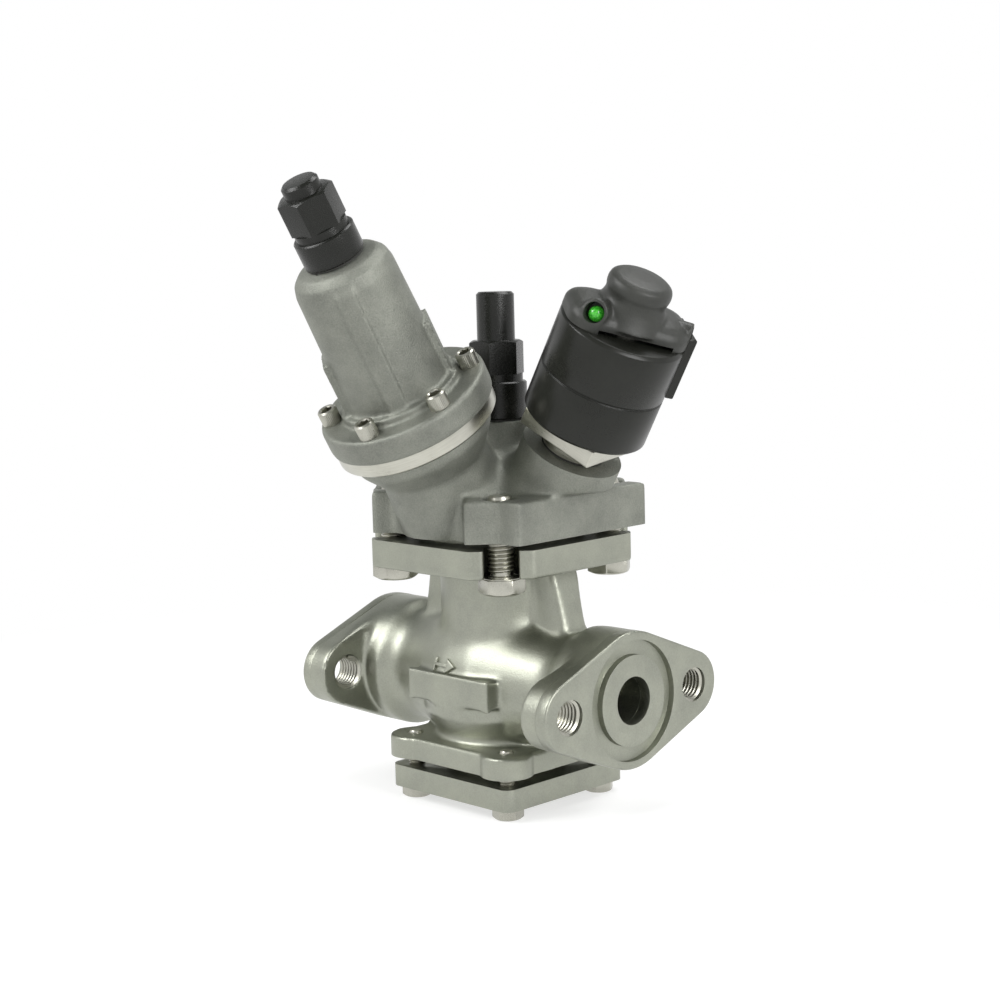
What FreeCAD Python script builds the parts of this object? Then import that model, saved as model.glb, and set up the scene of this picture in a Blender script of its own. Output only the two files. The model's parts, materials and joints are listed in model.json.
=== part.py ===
"""Pilot-operated pressure regulator valve with a diaphragm pilot and a solenoid pilot.

Millimetres. The origin is the middle of the inlet port's face, +X runs along the flow to the outlet,
and +Z is up. The body's upright axis stands half the face-to-face length from the origin.
Heights on the upright axis are counted from the flow axis. The regulator leans towards -Y and the
solenoid towards +X, both by the same angle, and heights on them are counted from their bosses' faces.
"""
import math
import os
import re

import FreeCAD
import Part
import Sketcher
from FreeCAD import Placement, Rotation, Vector

SIZES = (
    # flow line and end flanges
    ("face_to_face", 166.2, "inlet face to outlet face"),
    ("port_radius", 11.2, "bore of each port"),
    ("port_depth", 34, "straight length of each port"),
    ("passage_radius", 9.8, "sloping passage from a port to its chamber"),
    ("passage_angle", 24, "slope of the passages"),
    ("passage_length", 42, "sloping passage"),
    ("end_flange_thickness", 15.8, "end flanges"),
    ("end_flange_radius", 32, "round middle of an end flange"),
    ("ear_radius", 16, "rounding of an end flange's ears"),
    ("ear_spacing", 85, "the two bolt holes of an end flange"),
    ("ear_hole_radius", 7.1, "tapped holes in the end flanges"),
    ("tongue_radius", 21.2, "raised disc round a port"),
    ("joint_groove_radius", 28.1, "outer wall of the groove round the raised disc"),
    ("joint_groove_depth", 3.2, "depth of that groove"),
    ("edge_rounding", 1.2, "edges of the machined flanges"),
    # cast body
    ("hub_length", 9, "collar behind an end flange"),
    ("waist_place", 50, "narrowest part of the body from the upright axis"),
    ("waist_radius", 26, "body at its narrowest"),
    ("barrel_place", 28.4, "where the barrel starts to taper"),
    ("barrel_shoulder", 31.2, "barrel radius there"),
    ("barrel_radius", 36.5, "barrel at the upright axis"),
    ("barrel_flat", 9, "half length of the barrel's full radius"),
    ("neck_radius", 30, "round neck under the top flange"),
    ("rib_width", 18, "ribs on both sides of the neck"),
    ("rib_top_reach", 41.3, "rib from the upright axis, under the top flange"),
    ("rib_low_reach", 51, "rib from the upright axis, at its foot"),
    ("rib_foot_height", 18, "height of the rib's foot"),
    ("bowl_radius", 39.5, "lower bowl"),
    ("bowl_foot_radius", 34, "ring where the bowl meets the lower flange"),
    ("bowl_foot_height", 4, "that ring"),
    ("bowl_swell", 13, "where the bowl is full, over the lower flange"),
    ("bowl_shoulder", 2, "where the bowl starts to narrow, under the flow axis"),
    ("bowl_top", 14, "where the bowl ends inside the neck"),
    ("boss_face_reach", 40.2, "machined side face from the flow axis"),
    ("boss_face_length", 54.4, "length of the machined side face"),
    ("boss_face_height", 13.2, "height of the machined side face"),
    ("neck_blend", 5, "cast fillet where the neck meets the barrel"),
    ("waist_blend", 12, "cast fillet at the waist"),
    ("barrel_blend", 20, "rounding of the barrel's swell"),
    ("rib_rounding", 2.5, "edges of the ribs"),
    # top joint
    ("top_flange_height", 57.6, "underside of the top flange"),
    ("top_flange_thickness", 13.2, "top flange"),
    ("top_flange_half", 54, "side of the top flange from the axis"),
    ("corner_reach", 61.3, "cut corner of the top flange from the axis"),
    ("cover_bolt_offset", 36.3, "cover bolts from the axis, both ways"),
    ("slot_radius", 8, "half width of the open bolt slots"),
    ("slot_mouth", 4, "slots past the side of the flange"),
    ("joint_radius", 40, "raised joint faces"),
    ("joint_step", 1.2, "height of the raised joint faces"),
    ("gasket_thickness", 0.8, "all flat gaskets"),
    # lower joint
    ("low_flange_depth", 26.5, "top of the lower flange below the flow axis"),
    ("low_flange_thickness", 10.5, "lower flange"),
    ("low_flange_half", 40.7, "side of the lower flange from the axis"),
    ("low_corner_reach", 50.5, "cut corner of the lower flange from the axis"),
    ("low_bolt_offset", 31.2, "bottom bolts from the axis, both ways"),
    ("low_boss_radius", 12.4, "round bolt bosses of the lower flange"),
    ("low_joint_radius", 29, "raised faces of the lower joint"),
    ("low_joint_step", 2, "height of those faces"),
    ("bottom_plate_half", 40.4, "side of the bottom cover from the axis"),
    ("bottom_plate_thickness", 10.6, "bottom cover"),
    ("bottom_corner_radius", 5.5, "corners of the bottom cover"),
    # chambers and seat
    ("piston_bore_radius", 22, "cylinder for the main piston"),
    ("piston_bore_floor", 24.5, "lower end of that cylinder"),
    ("upper_chamber_radius", 19, "chamber over the seat"),
    ("lower_chamber_radius", 24, "chamber under the seat"),
    ("bridge_half", 4, "half thickness of the wall that holds the seat"),
    ("seat_outer_radius", 17, "seat ring"),
    ("seat_bore_radius", 12, "flow opening of the seat ring"),
    ("seat_lip", 1.2, "seat ring below the bridge"),
    ("seat_collar", 1.5, "collar on top of the seat ring"),
    # main piston and plug
    ("piston_clearance", 0.08, "round the piston"),
    ("piston_height", 15, "main piston"),
    ("piston_recess", 3, "recess in the piston's lower face"),
    ("piston_hub_wall", 3, "piston round its stem"),
    ("piston_rim_wall", 4, "piston at its rim"),
    ("recess_slope", 1.5, "sloping walls of the recess"),
    ("piston_rest_height", 34, "lower face of the piston, closed"),
    ("piston_ring_height", 2.4, "piston ring"),
    ("piston_ring_depth", 2.2, "piston ring"),
    ("plug_radius", 15.5, "main plug"),
    ("plug_height", 8, "main plug"),
    ("plug_disc_height", 2, "soft disc of the plug"),
    ("plug_stem_radius", 4.5, "stem between plug and piston"),
    ("plug_stem_step", 0.5, "step of that stem under the piston"),
    ("plug_stem_end", 0.8, "that stem past its nut"),
    ("plug_disc_margin", 0.3, "soft disc inside the plug's rim"),
    ("stem_nut_flats", 14, "nut on the plug's stem, across flats"),
    ("stem_nut_height", 5, "nut on the plug's stem"),
    ("closing_wire", 1.5, "closing spring, wire radius"),
    ("closing_coil", 12.5, "closing spring, mean radius"),
    ("closing_pocket_depth", 4, "spring pocket in the bottom cover"),
    # pilot cover
    ("cover_height", 20, "bolt pads of the pilot cover"),
    ("pad_half_width", 16.5, "bolt pads of the pilot cover"),
    ("cover_reach", 60.6, "bolt pads from the axis"),
    ("cover_wide_half", 55, "cover wall under the solenoid"),
    ("cover_half", 43.5, "other cover walls"),
    ("dome_radius", 46, "foot of the cover's dome"),
    ("dome_rise", 33, "top of the dome over the cover's joint face"),
    ("dome_foot_height", 14, "upright wall of the dome"),
    ("cover_chamber_height", 7, "space over the piston"),
    ("stem_boss_radius", 18, "upright boss"),
    ("stem_boss_flats", 31.2, "upright boss, across its flats"),
    ("stem_boss_height", 125, "top of the upright boss"),
    ("lean_angle", 30, "lean of both pilots"),
    ("boss_root", 40, "start of the leaning bosses, along their axes"),
    ("regulator_root_height", 35.2, "where the regulator's axis meets the upright axis"),
    ("regulator_reach", 103.7, "from there to the regulator's boss face"),
    ("regulator_boss_radius", 26, "boss under the regulator"),
    ("regulator_collar_radius", 34, "collar on that boss"),
    ("regulator_collar_height", 6, "collar on that boss"),
    ("regulator_flare_height", 12, "cone under that collar"),
    ("solenoid_root_height", 30, "where the solenoid's axis meets the upright axis"),
    ("solenoid_reach", 96.5, "from there to the solenoid's boss face"),
    ("solenoid_boss_radius", 24, "boss under the solenoid"),
    ("solenoid_flare_radius", 38, "spread root of that boss"),
    ("solenoid_flare_low", 45, "foot of the spread root, along the axis"),
    ("solenoid_flare_high", 80, "top of the spread root, along the axis"),
    ("flare_clearance", 9.5, "from a cover bolt to the spread root"),
    ("pilot_drill_radius", 2.5, "drillings from the pilots to the piston"),
    ("drilling_floor", 76.3, "lower end of the drillings"),
    ("socket_room", 0.2, "pilots' sockets past their spigots"),
    ("spring_pocket_depth", 2, "pocket under the pilot spring"),
    # hexagon bolts
    ("cover_bolt_radius", 6.35, "cover bolts"),
    ("cover_bolt_flats", 19.05, "cover bolts, across flats"),
    ("cover_bolt_head", 7.9, "cover bolts, head height"),
    ("bolt_end", 1.2, "bolt ends past their bosses"),
    ("low_bolt_radius", 4, "bottom bolts"),
    ("low_bolt_flats", 13, "bottom bolts, across flats"),
    ("low_bolt_head", 5.5, "bottom bolts, head height"),
    ("thread_fit", 0.05, "between a screw and its hole"),
    ("slide_fit", 0.02, "round the piston ring, the pilot seat and the fixed core"),
    # stems, glands and seal caps
    ("stem_radius", 5, "both screwed stems"),
    ("stem_fit", 0.06, "round a stem"),
    ("stem_square", 6.4, "square end of a stem"),
    ("square_length", 8, "square end of a stem"),
    ("stem_reach", 26, "end of a stem over the foot of its neck"),
    ("packing_radius", 8, "packing round a stem"),
    ("packing_height", 5, "packing round a stem"),
    ("gland_height", 5, "gland nut over a packing"),
    ("neck_thread_radius", 11, "threaded neck under a seal cap"),
    ("neck_thread_height", 12, "threaded neck under a seal cap"),
    ("cap_radius", 14.1, "skirt of a seal cap"),
    ("cap_flats", 23, "hexagon of a seal cap, across flats"),
    ("cap_hex_height", 16, "hexagon of a seal cap"),
    ("cap_waist_radius", 12.3, "groove under the hexagon"),
    ("cap_waist_height", 3.4, "groove under the hexagon"),
    ("cap_wall", 3, "top wall of a seal cap"),
    ("cap_edge", 0.7, "edges of a seal cap's skirt"),
    ("cap_button_edge", 1.2, "edge of a seal cap's end"),
    ("hexagon_bevel_inset", 0.3, "hexagon's top face inside its flats"),
    ("hexagon_bevel_width", 3.3, "bevel of the hexagon"),
    ("hexagon_bevel_angle", 30, "bevel of the hexagon"),
    ("manual_skirt_height", 17.6, "skirt of the upright cap"),
    ("manual_button_radius", 9, "upright cap's end"),
    ("manual_button_height", 22.8, "upright cap's end"),
    ("regulator_skirt_height", 13, "skirt of the regulator's cap"),
    ("regulator_button_radius", 8.6, "regulator cap's end"),
    ("regulator_button_height", 5.8, "regulator cap's end"),
    ("manual_foot_height", 3, "loose foot under the upright stem"),
    ("manual_foot_rest", 58.5, "underside of the foot, screwed up"),
    # diaphragm pilot
    ("ring_radius", 39, "bright ring under the bonnet"),
    ("ring_height", 7.7, "bright ring"),
    ("spigot_radius", 12, "threaded spigots of both pilots"),
    ("ring_spigot_height", 12, "spigot of the bright ring"),
    ("ring_bore_radius", 5, "bore for the pilot seat"),
    ("diaphragm_radius", 29.5, "diaphragm"),
    ("diaphragm_thickness", 0.4, "diaphragm"),
    ("diaphragm_space_radius", 23, "space under the diaphragm"),
    ("diaphragm_space_depth", 2, "space under the diaphragm"),
    ("pilot_seat_height", 5.3, "pilot seat"),
    ("pilot_seat_bore", 2.6, "pilot seat"),
    ("pilot_plug_radius", 4.2, "pilot plug"),
    ("pilot_plug_height", 5, "pilot plug"),
    ("pilot_pin_radius", 1.6, "pin from the pilot plug to the diaphragm"),
    ("pilot_pocket_radius", 5.5, "pocket under the pilot plug"),
    ("pilot_spring_height", 9, "spring under the pilot plug"),
    ("pilot_wire", 0.5, "that spring, wire radius"),
    ("pilot_coil", 3, "that spring, mean radius"),
    # bonnet, range spring and its rests
    ("bonnet_flange_radius", 40.2, "flange of the bonnet"),
    ("bonnet_flange_height", 11.8, "flange of the bonnet"),
    ("bonnet_ring_radius", 29, "raised ring at the bonnet's foot"),
    ("bonnet_ring_height", 3.5, "raised ring at the bonnet's foot"),
    ("bonnet_foot_radius", 24.9, "bonnet over its flange"),
    ("bonnet_top_radius", 23.4, "bonnet under its shoulder"),
    ("bonnet_height", 71.5, "bonnet over its flange"),
    ("shoulder_rounding", 9.5, "shoulder of the bonnet"),
    ("bonnet_wall", 5.5, "wall of the bonnet"),
    ("bonnet_roof", 12, "top wall of the bonnet"),
    ("bonnet_rib_width", 9, "upright ribs on the bonnet"),
    ("bonnet_rib_step", 1.1, "ribs over the bonnet's surface"),
    ("bonnet_rib_angle", -45, "direction of the first rib"),
    ("bonnet_pad_height", 30, "short pads between the ribs"),
    ("bonnet_pad_width", 17, "short pads between the ribs"),
    ("bonnet_pad_angle", 49, "direction of the first pad"),
    ("screw_circle_radius", 34, "bonnet screws"),
    ("screw_angle", 46.7, "direction of the first bonnet screw"),
    ("screw_radius", 3, "bonnet screws"),
    ("screw_head_radius", 4.6, "bonnet screws"),
    ("screw_head_height", 7.2, "bonnet screws"),
    ("screw_socket", 5, "bonnet screws, across the socket's flats"),
    ("screw_grip", 6.2, "bonnet screws in the bright ring"),
    ("rest_radius", 16.5, "spring rests"),
    ("rest_height", 3.6, "spring rests"),
    ("rest_hub_radius", 8, "hubs of the spring rests"),
    ("rest_hub_height", 3, "hubs of the spring rests"),
    ("stub_radius", 2.5, "pins on which the stems turn"),
    ("stub_height", 5, "pins on which the stems turn"),
    ("range_wire", 1.9, "range spring, wire radius"),
    ("range_coil", 12.4, "range spring, mean radius"),
    ("range_length", 50, "range spring"),
    # solenoid pilot
    ("adapter_spigot_height", 10, "spigot of the adapter"),
    ("adapter_neck_radius", 15, "round neck of the adapter"),
    ("adapter_neck_top", 8, "top of that neck"),
    ("adapter_square", 38, "square of the adapter, across flats"),
    ("adapter_turn", 10, "turn of the square about the axis"),
    ("adapter_top", 15, "top of the square"),
    ("orifice_radius", 1.5, "solenoid orifice"),
    ("orifice_lip_radius", 2.8, "lip round the orifice"),
    ("orifice_lip_height", 1, "lip round the orifice"),
    ("tube_radius", 7.5, "solenoid tube"),
    ("tube_wall", 0.6, "solenoid tube"),
    ("tube_top", 69.5, "closed end of the tube"),
    ("tube_plug", 5.5, "solid end of the tube"),
    ("tube_seat_depth", 4, "tube in the adapter"),
    ("clip_radius", 10, "ring clip over the coil"),
    ("clip_height", 1, "ring clip over the coil"),
    ("clip_depth", 1.2, "groove for the ring clip"),
    ("clip_room", 0.4, "round the ring clip and the tube's end"),
    ("plunger_clearance", 0.08, "round the plunger"),
    ("plunger_bottom", 2, "underside of the plunger"),
    ("plunger_top", 44, "top of the plunger"),
    ("plunger_gap", 2.8, "between plunger and fixed core"),
    ("plunger_seal_radius", 3.4, "seal in the plunger"),
    ("plunger_seal_depth", 2.2, "seal in the plunger"),
    ("plunger_pocket_radius", 4.2, "spring pocket of the plunger"),
    ("plunger_pocket_depth", 14, "spring pocket of the plunger"),
    ("plunger_wire", 0.45, "plunger spring, wire radius"),
    ("plunger_coil", 3, "plunger spring, mean radius"),
    ("coil_radius", 29.4, "coil housing"),
    ("coil_top", 66, "top of the coil"),
    ("coil_wall", 2.6, "wall of the coil housing"),
    ("coil_seam_height", 39.5, "seam round the coil housing"),
    ("coil_seam_depth", 0.35, "seam round the coil housing"),
    ("coil_seam_half", 0.45, "half width of that seam"),
    ("coil_edge", 1.6, "edges of the coil housing"),
    ("coil_base_height", 2, "steel plate under the winding"),
    ("winding_radius", 24, "winding"),
    ("winding_height", 44, "winding"),
    ("coil_fit", 0.07, "between the coil and the tube"),
    ("bridge_angle", 58, "direction of the bridge on the coil"),
    ("bridge_reach", 20.5, "bridge ends from the coil's axis"),
    ("bridge_end_radius", 7.6, "rounding of the bridge's ends"),
    ("bridge_height", 10.5, "bridge on the coil"),
    ("knob_radius", 14.6, "knob on the bridge"),
    ("knob_waist_radius", 13.2, "under the knob's rim"),
    ("knob_rim_step", 2, "slope under the knob's rim"),
    ("knob_height", 23.6, "top of the knob over the coil"),
    ("knob_rounding", 3.4, "rim of the knob"),
    ("lamp_radius", 3.6, "status lamps"),
    ("lamp_length", 3, "status lamps"),
    ("lamp_holder_radius", 4.9, "holders of the lamps"),
    ("lamp_holder_length", 9, "holders of the lamps"),
    ("lamp_recess", 1, "lamps inside their holders"),
    ("lamp_height", 5.6, "middle of the lamps over the coil"),
    ("near_lamp_along", -4.5, "holder of the near lamp"),
    ("near_lamp_across", -13.5, "holder of the near lamp"),
    ("near_lamp_angle", -78, "direction of the near lamp"),
    ("far_lamp_along", 12.5, "holder of the far lamp"),
    ("far_lamp_across", 17.5, "holder of the far lamp"),
    ("far_lamp_angle", -28, "direction of the far lamp"),
    ("terminal_angle", 62, "direction of the terminal box"),
    ("terminal_half_width", 11, "terminal box"),
    ("terminal_reach", 31.5, "terminal box from the coil's axis"),
    ("terminal_low", 40, "terminal box"),
    ("terminal_high", 71, "terminal box"),
)

doc = FreeCAD.newDocument("pressure_regulator_valve")
sheet = doc.addObject("Spreadsheet::Sheet", "Dims")
for row, (alias, size, meaning) in enumerate(SIZES, 1):
    sheet.set("A%d" % row, meaning)
    sheet.set("B%d" % row, str(size))
    sheet.setAlias("B%d" % row, alias)
doc.recompute()

# heights worked out from the sizes
GASKET_FLOOR = "top_flange_height + top_flange_thickness + joint_step"
COVER_FACE = GASKET_FLOOR + " + gasket_thickness"
COVER_FLOOR = COVER_FACE + " + joint_step"
PAD_TOP = COVER_FLOOR + " + cover_height"
LOW_FACE = "-low_flange_depth - low_flange_thickness - low_joint_step"
PLATE_FACE = LOW_FACE + " - gasket_thickness"
PLATE_TOP = PLATE_FACE + " - low_joint_step"
PLATE_BOTTOM = PLATE_TOP + " - bottom_plate_thickness"
SEAT_FACE = "-bridge_half - seat_lip"
PLUG_TOP = SEAT_FACE + " - plug_disc_height"
PLUG_BOTTOM = PLUG_TOP + " - plug_height"
PISTON_TOP = "piston_rest_height + piston_height"
FLANGE_TOP = "ring_height + bonnet_flange_height"
BONNET_TOP = FLANGE_TOP + " + bonnet_height"
SPRING_FLOOR = "ring_height + rest_height"
UPPER_REST = SPRING_FLOOR + " + range_length"
SEAT_FLOOR = "ring_height - diaphragm_thickness - diaphragm_space_depth - pilot_seat_height"
FOOT_TOP = "manual_foot_rest + manual_foot_height"
# axes about which a piece leans towards -Y or towards +X
SIDEWAYS = Vector(1, 0, 0)
ONWARD = Vector(0, 1, 0)


def on_sheet(text):
    """an expression in which every word with an underscore is a size on the sheet"""
    return re.sub(r"[a-z]+(?:_[a-z]+)+", lambda word: "Dims." + word.group(), str(text))


def number(text):
    """what an expression comes to"""
    found = sheet.evalExpression(on_sheet(text))
    return float(getattr(found, "Value", found))


def bind(thing, **sizes):
    """ties properties to expressions on the sheet"""
    for name, text in sizes.items():
        thing.setExpression(name, on_sheet(text))


def put(thing, x="0", y="0", z="0", axis=None, angle="0"):
    """places a thing by expressions"""
    turn = Rotation(axis, number(angle)) if axis else Rotation()
    thing.Placement = Placement(Vector(number(x), number(y), number(z)), turn)
    for name, text in (("x", x), ("y", y), ("z", z)):
        if text != "0":
            thing.setExpression("Placement.Base." + name, on_sheet(text))
    if axis:
        thing.setExpression("Placement.Rotation.Angle", on_sheet(angle))


def new_piece(label, kind="PartDesign::Body"):
    piece = doc.addObject(kind, label)
    piece.Label = label
    return piece


def upright(label, height="0", kind="PartDesign::Body"):
    """a piece on the upright axis"""
    piece = new_piece(label, kind)
    put(piece, "face_to_face / 2", "0", height)
    return piece


def on_regulator(label, height="0", kind="PartDesign::Body"):
    """a piece on the regulator's axis, its height counted from the boss face"""
    piece = new_piece(label, kind)
    reach = "(regulator_reach + %s)" % height
    put(piece, "face_to_face / 2", "-%s * sin(lean_angle)" % reach,
        "regulator_root_height + %s * cos(lean_angle)" % reach, SIDEWAYS, "lean_angle")
    return piece


def on_solenoid(label, height="0", kind="PartDesign::Body"):
    """a piece on the solenoid's axis, its height counted from the boss face"""
    piece = new_piece(label, kind)
    reach = "(solenoid_reach + %s)" % height
    put(piece, "face_to_face / 2 + %s * sin(lean_angle)" % reach, "0",
        "solenoid_root_height + %s * cos(lean_angle)" % reach, ONWARD, "lean_angle")
    return piece


def origin(piece, role):
    return next(f for f in piece.Origin.OriginFeatures if f.Role == role)


def new_sketch(piece, name, plane, offset="0", lean="0"):
    """a sketch on one of the piece's own planes, moved along its normal and turned about its own Y"""
    sketch = piece.newObject("Sketcher::SketchObject", piece.Name + "_" + name)
    sketch.AttachmentSupport = [(origin(piece, plane + "_Plane"), "")]
    sketch.MapMode = "FlatFace"
    sketch.AttachmentOffset = Placement(Vector(0, 0, number(offset)), Rotation(Vector(0, 1, 0), number(lean)))
    if offset != "0":
        sketch.setExpression("AttachmentOffset.Base.z", on_sheet(offset))
    if lean != "0":
        sketch.setExpression("AttachmentOffset.Rotation.Angle", on_sheet(lean))
    return sketch


def hold(sketch, pairs):
    """adds constraints, each with the expression that drives it or None"""
    first = sketch.ConstraintCount
    sketch.addConstraint([rule for rule, _ in pairs])
    for place, (_, text) in enumerate(pairs, first):
        if text is not None:
            sketch.setExpression("Constraints[%d]" % place, on_sheet(text))


def fix_point(part, end, x, y):
    """rules that hold a point at two expressions"""
    rules = []
    for kind, text, axis in (("DistanceX", x, -2), ("DistanceY", y, -1)):
        if text == "0":
            rules.append((Sketcher.Constraint("PointOnObject", part, end, axis), None))
        else:
            rules.append((Sketcher.Constraint(kind, -1, 1, part, end, number(text)), text))
    return rules


def polygon(piece, name, plane, corners, offset="0", lean="0"):
    """a closed outline of straight edges through corners given as expressions"""
    sketch = new_sketch(piece, name, plane, offset, lean)
    points = [Vector(number(x), number(y), 0) for x, y in corners]
    sketch.addGeometry([Part.LineSegment(a, b) for a, b in zip(points, points[1:] + points[:1])])
    last = len(corners) - 1
    rules = [(Sketcher.Constraint("Coincident", i - 1 if i else last, 2, i, 1), None)
             for i in range(len(corners))]
    for i, (x, y) in enumerate(corners):
        rules += fix_point(i, 1, x, y)
    hold(sketch, rules)
    return sketch


def circles(piece, name, plane, rounds, offset="0"):
    """circles given as (x, y, radius)"""
    sketch = new_sketch(piece, name, plane, offset)
    rules = []
    for i, (x, y, radius) in enumerate(rounds):
        centre = Vector(number(x), number(y), 0)
        sketch.addGeometry(Part.Circle(centre, Vector(0, 0, 1), number(radius)))
        rules += fix_point(i, 3, x, y)
        rules.append((Sketcher.Constraint("Radius", i, number(radius)), radius))
    hold(sketch, rules)
    return sketch


def feature(piece, kind, name, sketch=None):
    made = piece.newObject("PartDesign::" + kind, piece.Name + "_" + name)
    if sketch is not None:
        made.Profile = sketch
    return made


def pad(piece, name, sketch, length, both=False, down=False):
    made = feature(piece, "Pad", name, sketch)
    bind(made, Length=length)
    made.SideType = "Symmetric" if both else "One side"
    made.Reversed = down
    return made


def pocket(piece, name, sketch, length, both=False, up=False):
    made = feature(piece, "Pocket", name, sketch)
    bind(made, Length=length)
    made.SideType = "Symmetric" if both else "One side"
    made.Reversed = up
    return made


def turn(piece, name, corners, cut=False, along="V_Axis"):
    """turns an outline of (radius, height) about the piece's own upright axis"""
    sketch = polygon(piece, name + "_outline", "XZ", corners)
    made = feature(piece, "Groove" if cut else "Revolution", name, sketch)
    made.ReferenceAxis = (sketch, [along])
    made.Angle = 360
    return made


def column(piece, name, radius, low, high, cut=False):
    """a round column or bore on the piece's upright axis"""
    made = feature(piece, "SubtractiveCylinder" if cut else "AdditiveCylinder", name)
    bind(made, Radius=radius, Height="(%s) - (%s)" % (high, low))
    put(made, z=low)
    return made


def pattern(piece, name, made, count):
    """repeats features evenly about the piece's upright axis"""
    ring = piece.newObject("PartDesign::PolarPattern", piece.Name + "_" + name)
    ring.Originals = made
    ring.Axis = (origin(piece, "Z_Axis"), [""])
    ring.Angle = 360
    ring.Occurrences = count
    piece.Tip = ring
    return ring


def edges(piece, test):
    """names of the edges whose middle and ends pass a test"""
    doc.recompute()
    names = []
    for i, edge in enumerate(piece.Tip.Shape.Edges, 1):
        middle = edge.valueAt((edge.FirstParameter + edge.LastParameter) / 2)
        if test(edge, middle):
            names.append("Edge%d" % i)
    return names


NEAR = 0.3
SCREW_COUNT = 6


def is_straight(edge):
    return edge.Curve.TypeId == "Part::GeomLine"


def is_ring(edge, middle, place, radius):
    """a whole circle round the flow axis, the same on both sides of the upright axis"""
    return (edge.Curve.TypeId == "Part::GeomCircle" and abs(abs(middle.x) - number(place)) < NEAR
            and abs(math.hypot(middle.y, middle.z) - number(radius)) < NEAR)


def on_flange_face(edge):
    """the outline of an end flange's face, without its holes"""
    reach, hole = number("face_to_face / 2"), number("ear_hole_radius") + NEAR
    for corner in edge.Vertexes:
        x, y, z = corner.Point
        if abs(abs(x) - reach) > NEAR or math.hypot(abs(y) - number("ear_spacing / 2"), z) < hole:
            return False
    return True


def round_off(piece, name, radius, test):
    """fillets the edges that pass a test"""
    base = piece.Tip
    names = edges(piece, test)
    made = feature(piece, "Fillet", name)
    made.Base = (base, names)
    bind(made, Radius=radius)
    return made


def hexagon(piece, name, flats, x="0", y="0", offset="0"):
    """a hexagon with two flats square to the sketch's second axis"""
    def beside(middle, step):
        return step if middle == "0" else "%s %s" % (middle, step if step[0] == "-" else "+ " + step)

    wide, half, high = "%s / 2 / cos(30)" % flats, "%s / 4 / cos(30)" % flats, "%s / 2" % flats
    corners = ((beside(x, wide), y), (beside(x, half), beside(y, high)),
               (beside(x, "-" + half), beside(y, high)), (beside(x, "-" + wide), y),
               (beside(x, "-" + half), beside(y, "-" + high)), (beside(x, half), beside(y, "-" + high)))
    return polygon(piece, name, "XY", corners, offset)


def ring_piece(piece, inner, outer, low, high):
    """a plain turned ring"""
    return turn(piece, "ring", ((inner, low), (outer, low), (outer, high), (inner, high)))


def spring(piece, wire, coil, height, turns, steps, sides):
    """a spring standing on its own origin, its round wire and its turns made of flat faces"""
    thick, middle = number(wire), number(coil)
    rise = number(height) - 2 * thick
    rings = []
    for step in range(turns * steps + 1):
        way = Rotation(Vector(0, 0, 1), 360 * step / steps)
        lift = Vector(0, 0, thick + rise * step / (turns * steps))
        rings.append([way.multVec(Vector(middle + thick * math.cos(2 * math.pi * k / sides), 0,
                                         thick * math.sin(2 * math.pi * k / sides))) + lift
                      for k in range(sides)])
    faces = [flat_face(rings[0][::-1]), flat_face(rings[-1])]
    for low, high in zip(rings, rings[1:]):
        for k in range(sides):
            after = (k + 1) % sides
            faces.append(flat_face((low[k], low[after], high[after])))
            faces.append(flat_face((low[k], high[after], high[k])))
    solid = Part.Solid(Part.Shell(faces))
    if solid.Volume < 0:
        solid.reverse()
    place = piece.Placement
    piece.Shape = solid
    piece.Placement = place


def flat_face(corners):
    return Part.Face(Part.makePolygon(list(corners) + [corners[0]]))


def belt(piece, name, plane, rounds, offset="0"):
    """the line of a belt run round circles given as (x, y, radius), anticlockwise"""
    sketch = new_sketch(piece, name, plane, offset)
    places = [(Vector(number(x), number(y), 0), number(radius)) for x, y, radius in rounds]
    count = len(places)
    leaving = []
    for i, (middle, radius) in enumerate(places):
        after, next_radius = places[(i + 1) % count]
        way = after - middle
        along = (radius - next_radius) / way.Length
        way.normalize()
        out = way * along + Vector(way.y, -way.x, 0) * math.sqrt(1 - along * along)
        leaving.append(math.atan2(out.y, out.x))
    for i, (middle, radius) in enumerate(places):
        start, end = leaving[i - 1], leaving[i]
        if end < start:
            end += 2 * math.pi
        sketch.addGeometry(Part.ArcOfCircle(Part.Circle(middle, Vector(0, 0, 1), radius), start, end))
    arcs = [sketch.Geometry[i] for i in range(count)]
    rules = []
    for i in range(count):
        after = (i + 1) % count
        sketch.addGeometry(Part.LineSegment(arcs[i].EndPoint, arcs[after].StartPoint))
        rules.append((Sketcher.Constraint("Tangent", i, 2, count + i, 1), None))
        rules.append((Sketcher.Constraint("Tangent", count + i, 2, after, 1), None))
    for i, (x, y, radius) in enumerate(rounds):
        rules += fix_point(i, 3, x, y)
        rules.append((Sketcher.Constraint("Radius", i, number(radius)), radius))
    hold(sketch, rules)
    return sketch


def both_ways(place, across):
    """four places, the same distances out along both axes"""
    return [(a + place, b + across) for a in ("", "-") for b in ("", "-")]


def slanted(piece, name, radius, length, x, z, angle):
    """a round bore from a point in the XZ plane, leaning from +Z towards +X"""
    made = feature(piece, "SubtractiveCylinder", name)
    bind(made, Radius=radius, Height=length)
    put(made, x, "0", z, ONWARD, angle)


def both_sides(half_x, half_y):
    """corners of a rectangle centred on the origin"""
    return ((half_x, half_y), ("-" + half_x, half_y), ("-" + half_x, "-" + half_y), (half_x, "-" + half_y))


def cut_square(half, reach):
    """corners of a square whose own corners are cut off at a distance from the middle"""
    rest = "%s * sqrt(2) - %s" % (reach, half)
    minus = "%s - %s * sqrt(2)" % (half, reach)
    far = "-" + half
    return ((half, minus), (half, rest), (rest, half), (minus, half),
            (far, rest), (far, minus), (minus, far), (rest, far))


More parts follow.
